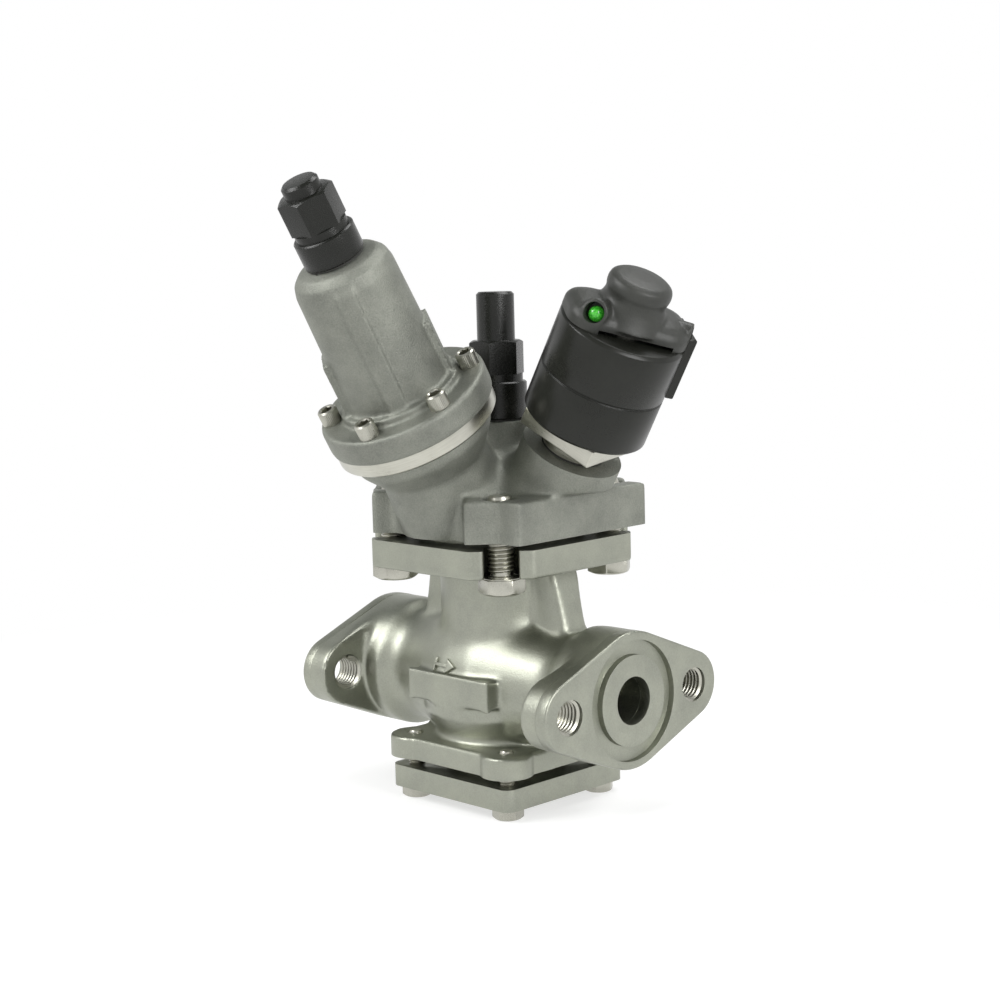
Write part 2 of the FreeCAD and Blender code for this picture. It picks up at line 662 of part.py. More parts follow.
def make_main_body():
    body = upright("main_body")
    back = "(face_to_face / 2 - end_flange_thickness)"
    hub = "(face_to_face / 2 - end_flange_thickness - hub_length)"
    profile = polygon(body, "barrel_outline", "XZ", (
        ("-" + back, "0"), ("-" + back, "end_flange_radius"), ("-" + hub, "end_flange_radius"),
        ("-waist_place", "waist_radius"), ("-barrel_place", "barrel_shoulder"),
        ("-barrel_flat", "barrel_radius"), ("barrel_flat", "barrel_radius"),
        ("barrel_place", "barrel_shoulder"), ("waist_place", "waist_radius"),
        (hub, "end_flange_radius"), (back, "end_flange_radius"), (back, "0")))
    barrel = feature(body, "Revolution", "barrel", profile)
    barrel.ReferenceAxis = (profile, ["H_Axis"])
    barrel.Angle = 360
    for name, place, radius in (("waist_blend", "waist_place", "waist_radius"),
                                ("barrel_blend", "barrel_flat", "barrel_radius")):
        round_off(body, name, name, lambda edge, middle: is_ring(edge, middle, place, radius))
    column(body, "neck", "neck_radius", "0", "top_flange_height")
    round_off(body, "neck_fillet", "neck_blend", lambda edge, middle: (
        not is_straight(edge) and middle.z > number("barrel_radius") / 2
        and middle.z < number("top_flange_height - top_flange_thickness")
        and abs(math.hypot(middle.x, middle.y) - number("neck_radius")) < NEAR))
    # end flanges with their tapped holes and joint grooves
    ears = (("ear_spacing / 2", "0", "ear_radius"), ("0", "0", "end_flange_radius"),
            ("-ear_spacing / 2", "0", "ear_radius"), ("0", "0", "end_flange_radius"))
    holes = (("ear_spacing / 2", "0", "ear_hole_radius"), ("-ear_spacing / 2", "0", "ear_hole_radius"))
    for side, start in (("inlet", "-face_to_face / 2"),
                        ("outlet", "face_to_face / 2 - end_flange_thickness")):
        pad(body, side + "_flange", belt(body, side + "_flange_outline", "YZ", ears, start),
            "end_flange_thickness")
        pocket(body, side + "_holes", circles(body, side + "_hole_outline", "YZ", holes, start),
               "end_flange_thickness", up=True)
    # ribs beside the neck, machined side faces, lower bowl
    rib = polygon(body, "rib_outline", "XZ", (
        ("-rib_low_reach", "rib_foot_height"), ("rib_low_reach", "rib_foot_height"),
        ("rib_top_reach", "top_flange_height"), ("-rib_top_reach", "top_flange_height")))
    pad(body, "ribs", rib, "rib_width", both=True)
    face = polygon(body, "face_outline", "XZ", both_sides("boss_face_length / 2", "boss_face_height / 2"))
    pad(body, "side_faces", face, "2 * boss_face_reach", both=True)
    turn(body, "bowl", (
        ("0", "-low_flange_depth"), ("bowl_foot_radius", "-low_flange_depth"),
        ("bowl_foot_radius", "-low_flange_depth + bowl_foot_height"),
        ("bowl_radius", "-low_flange_depth + bowl_swell"), ("bowl_radius", "-bowl_shoulder"),
        ("neck_radius", "bowl_top"), ("0", "bowl_top")))
    # top flange with its open bolt slots
    top = polygon(body, "top_outline", "XY", cut_square("top_flange_half", "corner_reach"),
                  "top_flange_height")
    pad(body, "top_flange", top, "top_flange_thickness")
    column(body, "top_joint", "joint_radius", "top_flange_height", GASKET_FLOOR)
    mouth = "slot_radius / sqrt(2)"
    near, far = "cover_bolt_offset", "top_flange_half + slot_mouth"
    slot = polygon(body, "slot_outline", "XY", (
        (near + " + " + mouth, near + " - " + mouth), (far + " + " + mouth, far + " - " + mouth),
        (far + " - " + mouth, far + " + " + mouth), (near + " - " + mouth, near + " + " + mouth)),
        "top_flange_height")
    opening = pocket(body, "slot", slot, "top_flange_thickness", up=True)
    pattern(body, "slots", [opening], 4)
    ends = circles(body, "slot_end_outline", "XY",
                   [(x, y, "slot_radius") for x, y in both_ways(near, near)], "top_flange_height")
    pocket(body, "slot_ends", ends, "top_flange_thickness", up=True)
    # lower flange with its bolt bosses
    low = "-low_flange_depth - low_flange_thickness"
    plate = polygon(body, "low_outline", "XY", cut_square("low_flange_half", "low_corner_reach"), low)
    pad(body, "low_flange", plate, "low_flange_thickness")
    spots = both_ways("low_bolt_offset", "low_bolt_offset")
    bosses = circles(body, "low_boss_outline", "XY", [(x, y, "low_boss_radius") for x, y in spots], low)
    pad(body, "low_bosses", bosses, "low_flange_thickness")
    column(body, "low_joint", "low_joint_radius", LOW_FACE, "-low_flange_depth")
    drills = circles(body, "low_hole_outline", "XY",
                     [(x, y, "low_bolt_radius + thread_fit") for x, y in spots], low)
    pocket(body, "low_holes", drills, "low_flange_thickness", up=True)
    round_off(body, "rib_edges", "rib_rounding", lambda edge, middle: (
        is_straight(edge) and abs(abs(middle.y) - number("rib_width / 2")) < NEAR
        and abs(middle.x) > number("rib_top_reach") - NEAR and middle.z > number("rib_foot_height")))
    round_off(body, "face_rims", "edge_rounding", lambda edge, middle: on_flange_face(edge))
    # inside: cylinder, chambers, seat and the two sloping passages
    column(body, "cylinder", "piston_bore_radius", "piston_bore_floor", GASKET_FLOOR, cut=True)
    column(body, "upper_chamber", "upper_chamber_radius", "bridge_half", "piston_bore_floor", cut=True)
    column(body, "seat_bore", "seat_outer_radius + thread_fit", "-bridge_half", "bridge_half", cut=True)
    column(body, "lower_chamber", "lower_chamber_radius", LOW_FACE, "-bridge_half", cut=True)
    turned = "(face_to_face / 2)"
    slanted(body, "inlet_port", "port_radius", "port_depth", "-" + turned, "0", "90")
    slanted(body, "outlet_port", "port_radius", "port_depth", turned, "0", "-90")
    inner = "(face_to_face / 2 - port_depth)"
    slanted(body, "inlet_passage", "passage_radius", "passage_length", "-" + inner, "0", "90 + passage_angle")
    slanted(body, "outlet_passage", "passage_radius", "passage_length", inner, "0", "passage_angle - 90")
    for side, sign in (("inlet", "-"), ("outlet", "")):
        depth = "%s(%s - joint_groove_depth)" % (sign, turned)
        groove = polygon(body, side + "_groove_outline", "XZ", (
            (sign + turned, "tongue_radius"), (sign + turned, "joint_groove_radius"),
            (depth, "joint_groove_radius"), (depth, "tongue_radius")))
        cut = feature(body, "Groove", side + "_groove", groove)
        cut.ReferenceAxis = (groove, ["H_Axis"])
        cut.Angle = 360
    return body


def make_lower_joint():
    gasket = upright("bottom_gasket", PLATE_FACE)
    ring_piece(gasket, "lower_chamber_radius", "low_joint_radius", "0", "gasket_thickness")
    cover = upright("bottom_cover")
    corner = "(bottom_plate_half - bottom_corner_radius)"
    far = "-" + corner
    rounds = [(x, y, "bottom_corner_radius") for x, y in
              ((corner, far), (corner, corner), (far, corner), (far, far))]
    pad(cover, "plate", belt(cover, "plate_outline", "XY", rounds, PLATE_BOTTOM), "bottom_plate_thickness")
    column(cover, "joint", "low_joint_radius", PLATE_TOP, PLATE_FACE)
    column(cover, "spring_pocket", "closing_coil + closing_wire + stem_fit",
           PLATE_FACE + " - closing_pocket_depth", PLATE_FACE, cut=True)
    spots = both_ways("low_bolt_offset", "low_bolt_offset")
    holes = circles(cover, "hole_outline", "XY",
                    [(x, y, "low_bolt_radius + thread_fit") for x, y in spots], PLATE_BOTTOM)
    pocket(cover, "holes", holes, "bottom_plate_thickness", up=True)
    hex_bolts("bottom_bolts", "low_bolt", PLATE_BOTTOM, "-low_flange_depth + bolt_end")


def hex_bolts(label, sizes, under, end):
    """four bolts entered from below, their heads ending at a height"""
    bolts = upright(label)
    bolts.AllowCompound = True
    place = sizes + "_offset"
    head = "(%s) - %s_head" % (under, sizes)
    for i, (x, y) in enumerate(both_ways(place, place)):
        outline = hexagon(bolts, "head_outline%d" % i, sizes + "_flats", x, y, head)
        pad(bolts, "head%d" % i, outline, sizes + "_head")
    shanks = circles(bolts, "shank_outline", "XY",
                     [(x, y, sizes + "_radius") for x, y in both_ways(place, place)], under)
    pad(bolts, "shanks", shanks, "(%s) - (%s)" % (end, under))
    return bolts


def make_trim():
    """seat, plug, piston and closing spring"""
    seat = upright("seat_ring")
    collar = "seat_outer_radius + seat_collar"
    turn(seat, "ring", (
        ("seat_bore_radius", SEAT_FACE), ("seat_outer_radius", SEAT_FACE),
        ("seat_outer_radius", "bridge_half"), (collar, "bridge_half"), (collar, "bridge_half + seat_collar"),
        ("seat_bore_radius + seat_collar", "bridge_half + seat_collar"), ("seat_bore_radius", "bridge_half")))
    plug = upright("main_plug")
    thin = "plug_stem_radius - plug_stem_step"
    end = PISTON_TOP + " + stem_nut_height + plug_stem_end"
    turn(plug, "plug", (
        ("0", PLUG_BOTTOM), ("plug_radius", PLUG_BOTTOM), ("plug_radius", PLUG_TOP),
        ("plug_stem_radius", PLUG_TOP), ("plug_stem_radius", "piston_rest_height"),
        (thin, "piston_rest_height"), (thin, end), ("0", end)))
    disc = upright("plug_disc", PLUG_TOP)
    ring_piece(disc, "plug_stem_radius + thread_fit", "plug_radius - plug_disc_margin", "0",
               "plug_disc_height")
    nut("plug_nut", SEAT_FACE, "plug_stem_radius")
    piston = upright("main_piston", "piston_rest_height")
    rim = "piston_bore_radius - piston_clearance"
    inner = rim + " - piston_ring_depth"
    low = "(piston_height - piston_ring_height) / 2"
    high = "(piston_height + piston_ring_height) / 2"
    hub, wall = "plug_stem_radius + piston_hub_wall", rim + " - piston_rim_wall"
    turn(piston, "piston", (
        (thin + " + thread_fit", "0"), (hub, "0"), (hub + " + recess_slope", "piston_recess"),
        (wall + " - recess_slope", "piston_recess"), (wall, "0"), (rim, "0"),
        (rim, low), (inner, low), (inner, high), (rim, high), (rim, "piston_height"),
        (thin + " + thread_fit", "piston_height")))
    ring = upright("piston_ring", "piston_rest_height")
    ring_piece(ring, inner, rim + " + piston_clearance - slide_fit", low, high)
    nut("piston_nut", PISTON_TOP, thin)
    coil = upright("closing_spring", "(%s - closing_pocket_depth)" % PLATE_FACE, "Part::Feature")
    room = "%s - (%s) + closing_pocket_depth" % (PLUG_BOTTOM, PLATE_FACE)
    spring(coil, "closing_wire", "closing_coil", room, turns=4, steps=14, sides=6)


def nut(label, height, stem):
    """a hexagon nut on the plug's stem"""
    piece = upright(label, height)
    pad(piece, "nut", hexagon(piece, "outline", "stem_nut_flats"), "stem_nut_height")
    column(piece, "bore", stem + " + thread_fit", "0", "stem_nut_height", cut=True)
    return piece


def seal_stack(where, names, floor, foot_top, skirt, button_radius, button):
    """stem, packing, gland, cap gasket and seal cap of one neck, floor being the neck's foot"""
    stem_name, packing_name, gland_name, gasket_name, cap_name = names
    stem = where(stem_name)
    shoulder = floor + " + stem_reach - square_length"
    column(stem, "stem", "stem_radius", foot_top, shoulder)
    square = polygon(stem, "square_outline", "XY", both_sides("stem_square / 2", "stem_square / 2"), shoulder)
    pad(stem, "square", square, "square_length")
    column(stem, "socket", "stub_radius + stem_fit", foot_top, foot_top + " + stub_height", cut=True)
    packing = where(packing_name, floor)
    ring_piece(packing, "stem_radius + stem_fit", "packing_radius", "0", "packing_height")
    gland = where(gland_name, floor + " + packing_height")
    ring_piece(gland, "stem_radius + stem_fit", "packing_radius", "0", "gland_height")
    flat = where(gasket_name, floor)
    ring_piece(flat, "neck_thread_radius + thread_fit", "cap_radius - cap_edge", "0", "gasket_thickness")
    cap = where(cap_name, floor + " + gasket_thickness")
    groove_top = skirt + " + cap_waist_height"
    hex_top = groove_top + " + cap_hex_height"
    end = hex_top + " + " + button
    turn(cap, "skirt", (
        ("0", "0"), ("cap_radius - cap_edge", "0"), ("cap_radius", "cap_edge"),
        ("cap_radius", skirt + " - cap_edge"),
        ("cap_radius - cap_edge", skirt), ("cap_waist_radius", skirt), ("cap_waist_radius", groove_top),
        ("0", groove_top)))
    pad(cap, "hexagon", hexagon(cap, "hexagon_outline", "cap_flats", offset=groove_top), "cap_hex_height")
    inset = "cap_flats / 2 - hexagon_bevel_inset"
    outer = inset + " + hexagon_bevel_width"
    low = hex_top + " - hexagon_bevel_width * tan(hexagon_bevel_angle)"
    turn(cap, "hexagon_bevel", ((inset, hex_top), (outer, hex_top), (outer, low)), cut=True)
    turn(cap, "button", (
        ("0", hex_top), (button_radius, hex_top), (button_radius, end + " - cap_button_edge"),
        (button_radius + " - cap_button_edge", end), ("0", end)))
    column(cap, "thread", "neck_thread_radius + thread_fit", "0", "neck_thread_height", cut=True)
    column(cap, "hollow", "packing_radius", "neck_thread_height", hex_top + " - cap_wall", cut=True)
    return cap


def bore_neck(piece, low, floor):
    """the bores of a stem's neck: stem, packing and gland"""
    column(piece, "stem_bore", "stem_radius + stem_fit", low, floor, cut=True)
    column(piece, "packing_bore", "packing_radius", floor, floor + " + neck_thread_height", cut=True)


def make_pilot_cover():
    cover = upright("pilot_cover")
    walls = (("cover_wide_half", "-cover_half"), ("cover_wide_half", "cover_half"),
             ("-cover_half", "cover_half"), ("-cover_half", "-cover_half"))
    pad(cover, "walls", polygon(cover, "wall_outline", "XY", walls, COVER_FLOOR), "cover_height")
    inner, outer = "(cover_reach - pad_half_width) / sqrt(2)", "(cover_reach + pad_half_width) / sqrt(2)"
    for name, a, b in (("first", "", "-"), ("second", "-", "")):
        bar = polygon(cover, name + "_bar_outline", "XY", (
            (a + inner, outer), (a + outer, inner), (b + inner, "-" + outer), (b + outer, "-" + inner)),
            COVER_FLOOR)
        pad(cover, name + "_bar", bar, "cover_height")
    dome_top = COVER_FLOOR + " + dome_rise"
    turn(cover, "dome", (
        ("0", COVER_FLOOR), ("dome_radius", COVER_FLOOR),
        ("dome_radius", COVER_FLOOR + " + dome_foot_height"),
        ("stem_boss_radius", dome_top), ("stem_boss_radius", "stem_boss_height"), ("0", "stem_boss_height")))
    # flats of the upright boss
    flats = polygon(cover, "flat_outline", "XY", (
        ("stem_boss_flats / sqrt(2)", "0"), ("0", "stem_boss_flats / sqrt(2)"),
        ("-stem_boss_flats / sqrt(2)", "0"), ("0", "-stem_boss_flats / sqrt(2)")), dome_top)
    flats.addGeometry(Part.Circle(Vector(), Vector(0, 0, 1), number("stem_boss_flats")))
    hold(flats, fix_point(4, 3, "0", "0")
         + [(Sketcher.Constraint("Radius", 4, number("stem_boss_flats")), "stem_boss_flats")])
    pocket(cover, "flats", flats, "stem_boss_height - (%s)" % dome_top, up=True)
    column(cover, "neck", "neck_thread_radius", "stem_boss_height", "stem_boss_height + neck_thread_height")
    # leaning bosses of the two pilots
    for name, root, reach, radius, way in (
            ("regulator", "regulator_root_height", "regulator_reach", "regulator_boss_radius", SIDEWAYS),
            ("solenoid", "solenoid_root_height", "solenoid_reach", "solenoid_boss_radius", ONWARD)):
        tilted(cover, name + "_boss", "AdditiveCylinder", root, way, "boss_root", reach, radius)
    flare = tilted(cover, "collar_flare", "AdditiveCone", "regulator_root_height", SIDEWAYS,
                   "regulator_reach - regulator_collar_height - regulator_flare_height",
                   "regulator_reach - regulator_collar_height", "regulator_boss_radius")
    bind(flare, Radius2="regulator_collar_radius")
    tilted(cover, "collar", "AdditiveCylinder", "regulator_root_height", SIDEWAYS,
           "regulator_reach - regulator_collar_height", "regulator_reach", "regulator_collar_radius")
    root = tilted(cover, "solenoid_flare", "AdditiveCone", "solenoid_root_height", ONWARD,
                  "solenoid_flare_low", "solenoid_flare_high", "solenoid_flare_radius")
    bind(root, Radius2="solenoid_boss_radius")
    # the spread root is cut back to the wall and from the bolts
    outside = polygon(cover, "outside_outline", "XY", (
        ("cover_wide_half", "-2 * cover_reach"), ("2 * cover_reach", "-2 * cover_reach"),
        ("2 * cover_reach", "2 * cover_reach"), ("cover_wide_half", "2 * cover_reach")), COVER_FLOOR)
    pocket(cover, "outside", outside, "cover_height", up=True)
    faces = circles(cover, "bolt_face_outline", "XY", [
        (x, y, "flare_clearance") for x, y in both_ways("cover_bolt_offset", "cover_bolt_offset")], PAD_TOP)
    pocket(cover, "bolt_faces", faces, "cover_height", up=True)
    # everything under the floor goes, the round joint face comes back
    far = "2 * cover_reach"
    under = polygon(cover, "under_outline", "XY", both_sides(far, far), COVER_FLOOR)
    pocket(cover, "under", under, far)
    column(cover, "joint", "joint_radius", COVER_FACE, COVER_FLOOR + " + joint_step")
    roof = COVER_FACE + " + cover_chamber_height"
    column(cover, "chamber", "piston_bore_radius", COVER_FACE, roof, cut=True)
    bore_neck(cover, roof, "stem_boss_height")
    spots = both_ways("cover_bolt_offset", "cover_bolt_offset")
    holes = circles(cover, "hole_outline", "XY",
                    [(x, y, "cover_bolt_radius + thread_fit") for x, y in spots], COVER_FLOOR)
    pocket(cover, "holes", holes, "cover_height", up=True)
    # threaded sockets of the pilots, the pocket under the pilot plug, drillings to the space over the piston
    socket, root = "regulator_reach - ring_spigot_height", "regulator_root_height"
    other, other_root = "solenoid_reach - adapter_spigot_height", "solenoid_root_height"
    start = "(drilling_floor - %s) / cos(lean_angle)"
    for name, root, way, low, high, radius in (
            ("regulator_socket", root, SIDEWAYS, socket + " - socket_room", "regulator_reach",
             "spigot_radius"),
            ("spring_pocket", root, SIDEWAYS, socket + " - spring_pocket_depth", "regulator_reach",
             "pilot_pocket_radius"),
            ("solenoid_socket", other_root, ONWARD, other + " - socket_room", "solenoid_reach",
             "spigot_radius"),
            ("regulator_drilling", root, SIDEWAYS, start % root, "regulator_reach", "pilot_drill_radius"),
            ("solenoid_drilling", other_root, ONWARD, start % other_root, "solenoid_reach",
             "pilot_drill_radius")):
        tilted(cover, name, "SubtractiveCylinder", root, way, low, high, radius)
        if name.endswith("drilling"):
            link = feature(cover, "SubtractiveCylinder", name + "_link")
            bind(link, Radius=radius, Height="(drilling_floor - %s) * tan(lean_angle)" % root)
            put(link, z="drilling_floor", axis=way, angle="90")
    return cover


def tilted(piece, name, kind, root, way, low, high, radius):
    """a column or bore on a pilot's axis, between two distances from the axis's root"""
    made = feature(piece, kind, name)
    bind(made, Height="(%s) - (%s)" % (high, low))
    bind(made, **{"Radius1" if kind.endswith("Cone") else "Radius": radius})
    x = "(%s) * sin(lean_angle)" % low if way.y else "0"
    y = "0" if way.y else "-(%s) * sin(lean_angle)" % low
    put(made, x, y, "%s + (%s) * cos(lean_angle)" % (root, low), way, "lean_angle")
    return made


def make_regulator():
    ring = on_regulator("diaphragm_ring")
    floor = "ring_height - diaphragm_thickness"
    turn(ring, "ring", (
        ("ring_bore_radius", "-ring_spigot_height"), ("spigot_radius - thread_fit", "-ring_spigot_height"),
        ("spigot_radius - thread_fit", "0"), ("ring_radius - edge_rounding", "0"),
        ("ring_radius", "edge_rounding"), ("ring_radius", "ring_height"),
        ("diaphragm_radius + thread_fit", "ring_height"), ("diaphragm_radius + thread_fit", floor),
        ("diaphragm_space_radius", floor),
        ("diaphragm_space_radius - diaphragm_space_depth", floor + " - diaphragm_space_depth"),
        ("ring_bore_radius", floor + " - diaphragm_space_depth")))
    drill_ring(ring, "screw_radius + thread_fit", "ring_height - screw_grip", "ring_height")
    seat = on_regulator("pilot_seat", SEAT_FLOOR)
    ring_piece(seat, "pilot_seat_bore", "ring_bore_radius - slide_fit", "0", "pilot_seat_height")
    plug = on_regulator("pilot_plug", SEAT_FLOOR)
    turn(plug, "plug", (("0", "-pilot_plug_height"), ("pilot_plug_radius", "-pilot_plug_height"),
                        ("pilot_plug_radius", "0"), ("pilot_pin_radius", "0"),
                        ("pilot_pin_radius", floor + " - (%s)" % SEAT_FLOOR),
                        ("0", floor + " - (%s)" % SEAT_FLOOR)))
    coil = on_regulator("pilot_spring", "(-ring_spigot_height - spring_pocket_depth)", "Part::Feature")
    room = "%s - pilot_plug_height + ring_spigot_height + spring_pocket_depth" % SEAT_FLOOR
    spring(coil, "pilot_wire", "pilot_coil", room, turns=4, steps=8, sides=5)
    sheet_disc = on_regulator("diaphragm")
    column(sheet_disc, "disc", "diaphragm_radius", floor, "ring_height")
    for name, height, way in (("lower_spring_rest", "ring_height", 1), ("upper_spring_rest", UPPER_REST, -1)):
        rest = on_regulator(name, "(%s)" % height)
        column(rest, "disc", "rest_radius", "0", "rest_height")
        if way > 0:
            column(rest, "hub", "rest_hub_radius", "rest_height", "rest_height + rest_hub_height")
        else:
            column(rest, "hub", "rest_hub_radius", "-rest_hub_height", "0")
            column(rest, "stub", "stub_radius", "rest_height", "rest_height + stub_height")
    coil = on_regulator("range_spring", "(%s)" % SPRING_FLOOR, "Part::Feature")
    spring(coil, "range_wire", "range_coil", "range_length", turns=7, steps=14, sides=6)
    # bonnet
    bonnet = on_regulator("regulator_bonnet")
    foot = FLANGE_TOP + " + bonnet_ring_height"
    shoulder = BONNET_TOP + " - shoulder_rounding"
    middle = "bonnet_top_radius - shoulder_rounding"
    turn(bonnet, "shell", (
        ("0", "ring_height"), ("bonnet_flange_radius - edge_rounding", "ring_height"),
        ("bonnet_flange_radius", "ring_height + edge_rounding"),
        ("bonnet_flange_radius", FLANGE_TOP + " - edge_rounding"),
        ("bonnet_flange_radius - edge_rounding", FLANGE_TOP), ("bonnet_ring_radius", FLANGE_TOP),
        ("bonnet_ring_radius", foot), ("bonnet_foot_radius", foot), ("bonnet_top_radius", shoulder),
        (middle + " + shoulder_rounding * cos(30)", shoulder + " + shoulder_rounding * sin(30)"),
        (middle + " + shoulder_rounding * cos(60)", shoulder + " + shoulder_rounding * sin(60)"),
        ("bonnet_top_radius - shoulder_rounding", BONNET_TOP), ("0", BONNET_TOP)))
    column(bonnet, "neck", "neck_thread_radius", BONNET_TOP, BONNET_TOP + " + neck_thread_height")
    low, top = "bonnet_foot_radius + bonnet_rib_step", "bonnet_top_radius + bonnet_rib_step"
    slope_top = BONNET_TOP + " - shoulder_rounding / 4"
    rib = polygon(bonnet, "rib_outline", "XZ", (
        (low, FLANGE_TOP), (top, shoulder), (top + " - shoulder_rounding / 2", slope_top),
        ("-(%s - shoulder_rounding / 2)" % top, slope_top),
        ("-(%s)" % top, shoulder), ("-(%s)" % low, FLANGE_TOP)), lean="bonnet_rib_angle")
    pad(bonnet, "ribs", rib, "bonnet_rib_width", both=True)
    pads = polygon(bonnet, "pad_outline", "XZ", (
        (low, foot), (low, FLANGE_TOP + " + bonnet_pad_height"),
        ("-(%s)" % low, FLANGE_TOP + " + bonnet_pad_height"), ("-(%s)" % low, foot)), lean="bonnet_pad_angle")
    pad(bonnet, "pads", pads, "bonnet_pad_width", both=True)
    column(bonnet, "spring_space", "bonnet_top_radius - bonnet_wall", "ring_height",
           BONNET_TOP + " - bonnet_roof", cut=True)
    bore_neck(bonnet, BONNET_TOP + " - bonnet_roof", BONNET_TOP)
    drill_ring(bonnet, "screw_radius + thread_fit", "ring_height", FLANGE_TOP)
    # socket screws
    screws = on_regulator("bonnet_screws")
    screws.AllowCompound = True
    x, y = "screw_circle_radius * cos(screw_angle)", "screw_circle_radius * sin(screw_angle)"
    tip = "ring_height - screw_grip"
    shank = circles(screws, "shank_outline", "XY", ((x, y, "screw_radius"),), tip)
    first = pad(screws, "shank", shank, "bonnet_flange_height + screw_grip")
    head = circles(screws, "head_outline", "XY", ((x, y, "screw_head_radius"),), FLANGE_TOP)
    second = pad(screws, "head", head, "screw_head_height")
    socket = hexagon(screws, "socket_outline", "screw_socket", x, y, FLANGE_TOP + " + screw_head_height / 2")
    third = pocket(screws, "socket", socket, "screw_head_height / 2", up=True)
    pattern(screws, "round", [first, second, third], SCREW_COUNT)


def drill_ring(piece, radius, low, high):
    """the six screw holes of the ring or the bonnet"""
    hole = circles(piece, "screw_outline", "XY", (
        ("screw_circle_radius * cos(screw_angle)", "screw_circle_radius * sin(screw_angle)", radius),), low)
    first = pocket(piece, "screw_hole", hole, "(%s) - (%s)" % (high, low), up=True)
    pattern(piece, "screw_holes", [first], SCREW_COUNT)


def make_solenoid():
    flat = on_solenoid("adapter_gasket")
    ring_piece(flat, "spigot_radius + thread_fit", "adapter_neck_radius", "0", "gasket_thickness")
    adapter = on_solenoid("solenoid_adapter")
    turn(adapter, "neck", (
        ("0", "-adapter_spigot_height"), ("spigot_radius - thread_fit", "-adapter_spigot_height"),
        ("spigot_radius - thread_fit", "gasket_thickness"), ("adapter_neck_radius", "gasket_thickness"),
        ("adapter_neck_radius", "adapter_neck_top"), ("0", "adapter_neck_top")))
    corners = [["adapter_square / sqrt(2) * %s(%d + adapter_turn)" % (way, angle) for way in ("cos", "sin")]
               for angle in (45, 135, 225, 315)]
    square = polygon(adapter, "square_outline", "XY", corners, "adapter_neck_top")
    pad(adapter, "square", square, "adapter_top - adapter_neck_top")
    inside = "tube_radius - tube_wall"
    lip = "plunger_bottom - orifice_lip_height"
    tube_foot = "adapter_top - tube_seat_depth"
    column(adapter, "tube_seat", "tube_radius + thread_fit", tube_foot, "adapter_top", cut=True)
    column(adapter, "plunger_space", inside, lip, "adapter_top", cut=True)
    column(adapter, "lip", "orifice_lip_radius", lip + " - orifice_lip_height", "plunger_bottom")
    column(adapter, "orifice", "orifice_radius", "-adapter_spigot_height", "plunger_bottom", cut=True)
    tube = on_solenoid("solenoid_tube")
    plug, groove = "tube_top - tube_plug", "coil_top"
    deep = "tube_radius - clip_depth"
    turn(tube, "tube", (
        (inside, tube_foot), ("tube_radius", tube_foot), ("tube_radius", groove), (deep, groove),
        (deep, groove + " + clip_height"), ("tube_radius", groove + " + clip_height"),
        ("tube_radius", "tube_top"),
        ("0", "tube_top"), ("0", plug), (inside, plug)))
    clip = on_solenoid("coil_clip", "coil_top")
    ring_piece(clip, deep, "clip_radius", "0", "clip_height")
    core = on_solenoid("fixed_core")
    column(core, "core", inside + " - slide_fit", "plunger_top + plunger_gap", plug)
    plunger = on_solenoid("plunger")
    radius = inside + " - plunger_clearance"
    pocket_floor = "plunger_top - plunger_pocket_depth"
    seal_top = "plunger_bottom + plunger_seal_depth"
    turn(plunger, "plunger", (
        ("0", seal_top), ("plunger_seal_radius", seal_top), ("plunger_seal_radius", "plunger_bottom"),
        (radius, "plunger_bottom"), (radius, "plunger_top"), ("plunger_pocket_radius", "plunger_top"),
        ("plunger_pocket_radius", pocket_floor), ("0", pocket_floor)))
    seal = on_solenoid("plunger_seal", "plunger_bottom")
    column(seal, "disc", "plunger_seal_radius", "0", "plunger_seal_depth")
    coil = on_solenoid("plunger_spring", "(%s)" % pocket_floor, "Part::Feature")
    room = "plunger_pocket_depth + plunger_gap"
    spring(coil, "plunger_wire", "plunger_coil", room, turns=6, steps=8, sides=5)
    # the coil, which turns on the tube
    fit = "tube_radius + coil_fit"
    rim = "coil_radius - coil_wall"
    roof = "coil_top - coil_wall"
    housing = on_solenoid("coil_housing")
    turn(housing, "can", (
        (rim, "adapter_top"), ("coil_radius - coil_edge", "adapter_top"),
        ("coil_radius", "adapter_top + coil_edge"),
        ("coil_radius", "coil_seam_height - coil_seam_half"),
        ("coil_radius - coil_seam_depth", "coil_seam_height - coil_seam_half"),
        ("coil_radius - coil_seam_depth", "coil_seam_height + coil_seam_half"),
        ("coil_radius", "coil_seam_height + coil_seam_half"),
        ("coil_radius", "coil_top - coil_edge"), ("coil_radius - coil_edge", "coil_top"), (fit, "coil_top"),
        (fit, roof), (rim, roof)))
    base = on_solenoid("coil_base", "adapter_top")
    ring_piece(base, fit, rim, "0", "coil_base_height")
    winding = on_solenoid("coil_winding", "(adapter_top + coil_base_height)")
    ring_piece(winding, fit, "winding_radius", "0", "winding_height")
    terminal = on_solenoid("terminal_box")
    corners = []
    for reach, side in (("(coil_radius - coil_wall)", "1"), ("(coil_radius - coil_wall)", "-1"),
                        ("terminal_reach", "-1"), ("terminal_reach", "1")):
        half = side + " * terminal_half_width"
        corners.append(("%s * cos(terminal_angle) - %s * sin(terminal_angle)" % (reach, half),
                        "%s * sin(terminal_angle) + %s * cos(terminal_angle)" % (reach, half)))
    outline = polygon(terminal, "outline", "XY", corners, "terminal_low")
    pad(terminal, "box", outline, "terminal_high - terminal_low")
    column(terminal, "hollow", "coil_radius", "terminal_low", "terminal_high", cut=True)
    make_coil_cover()


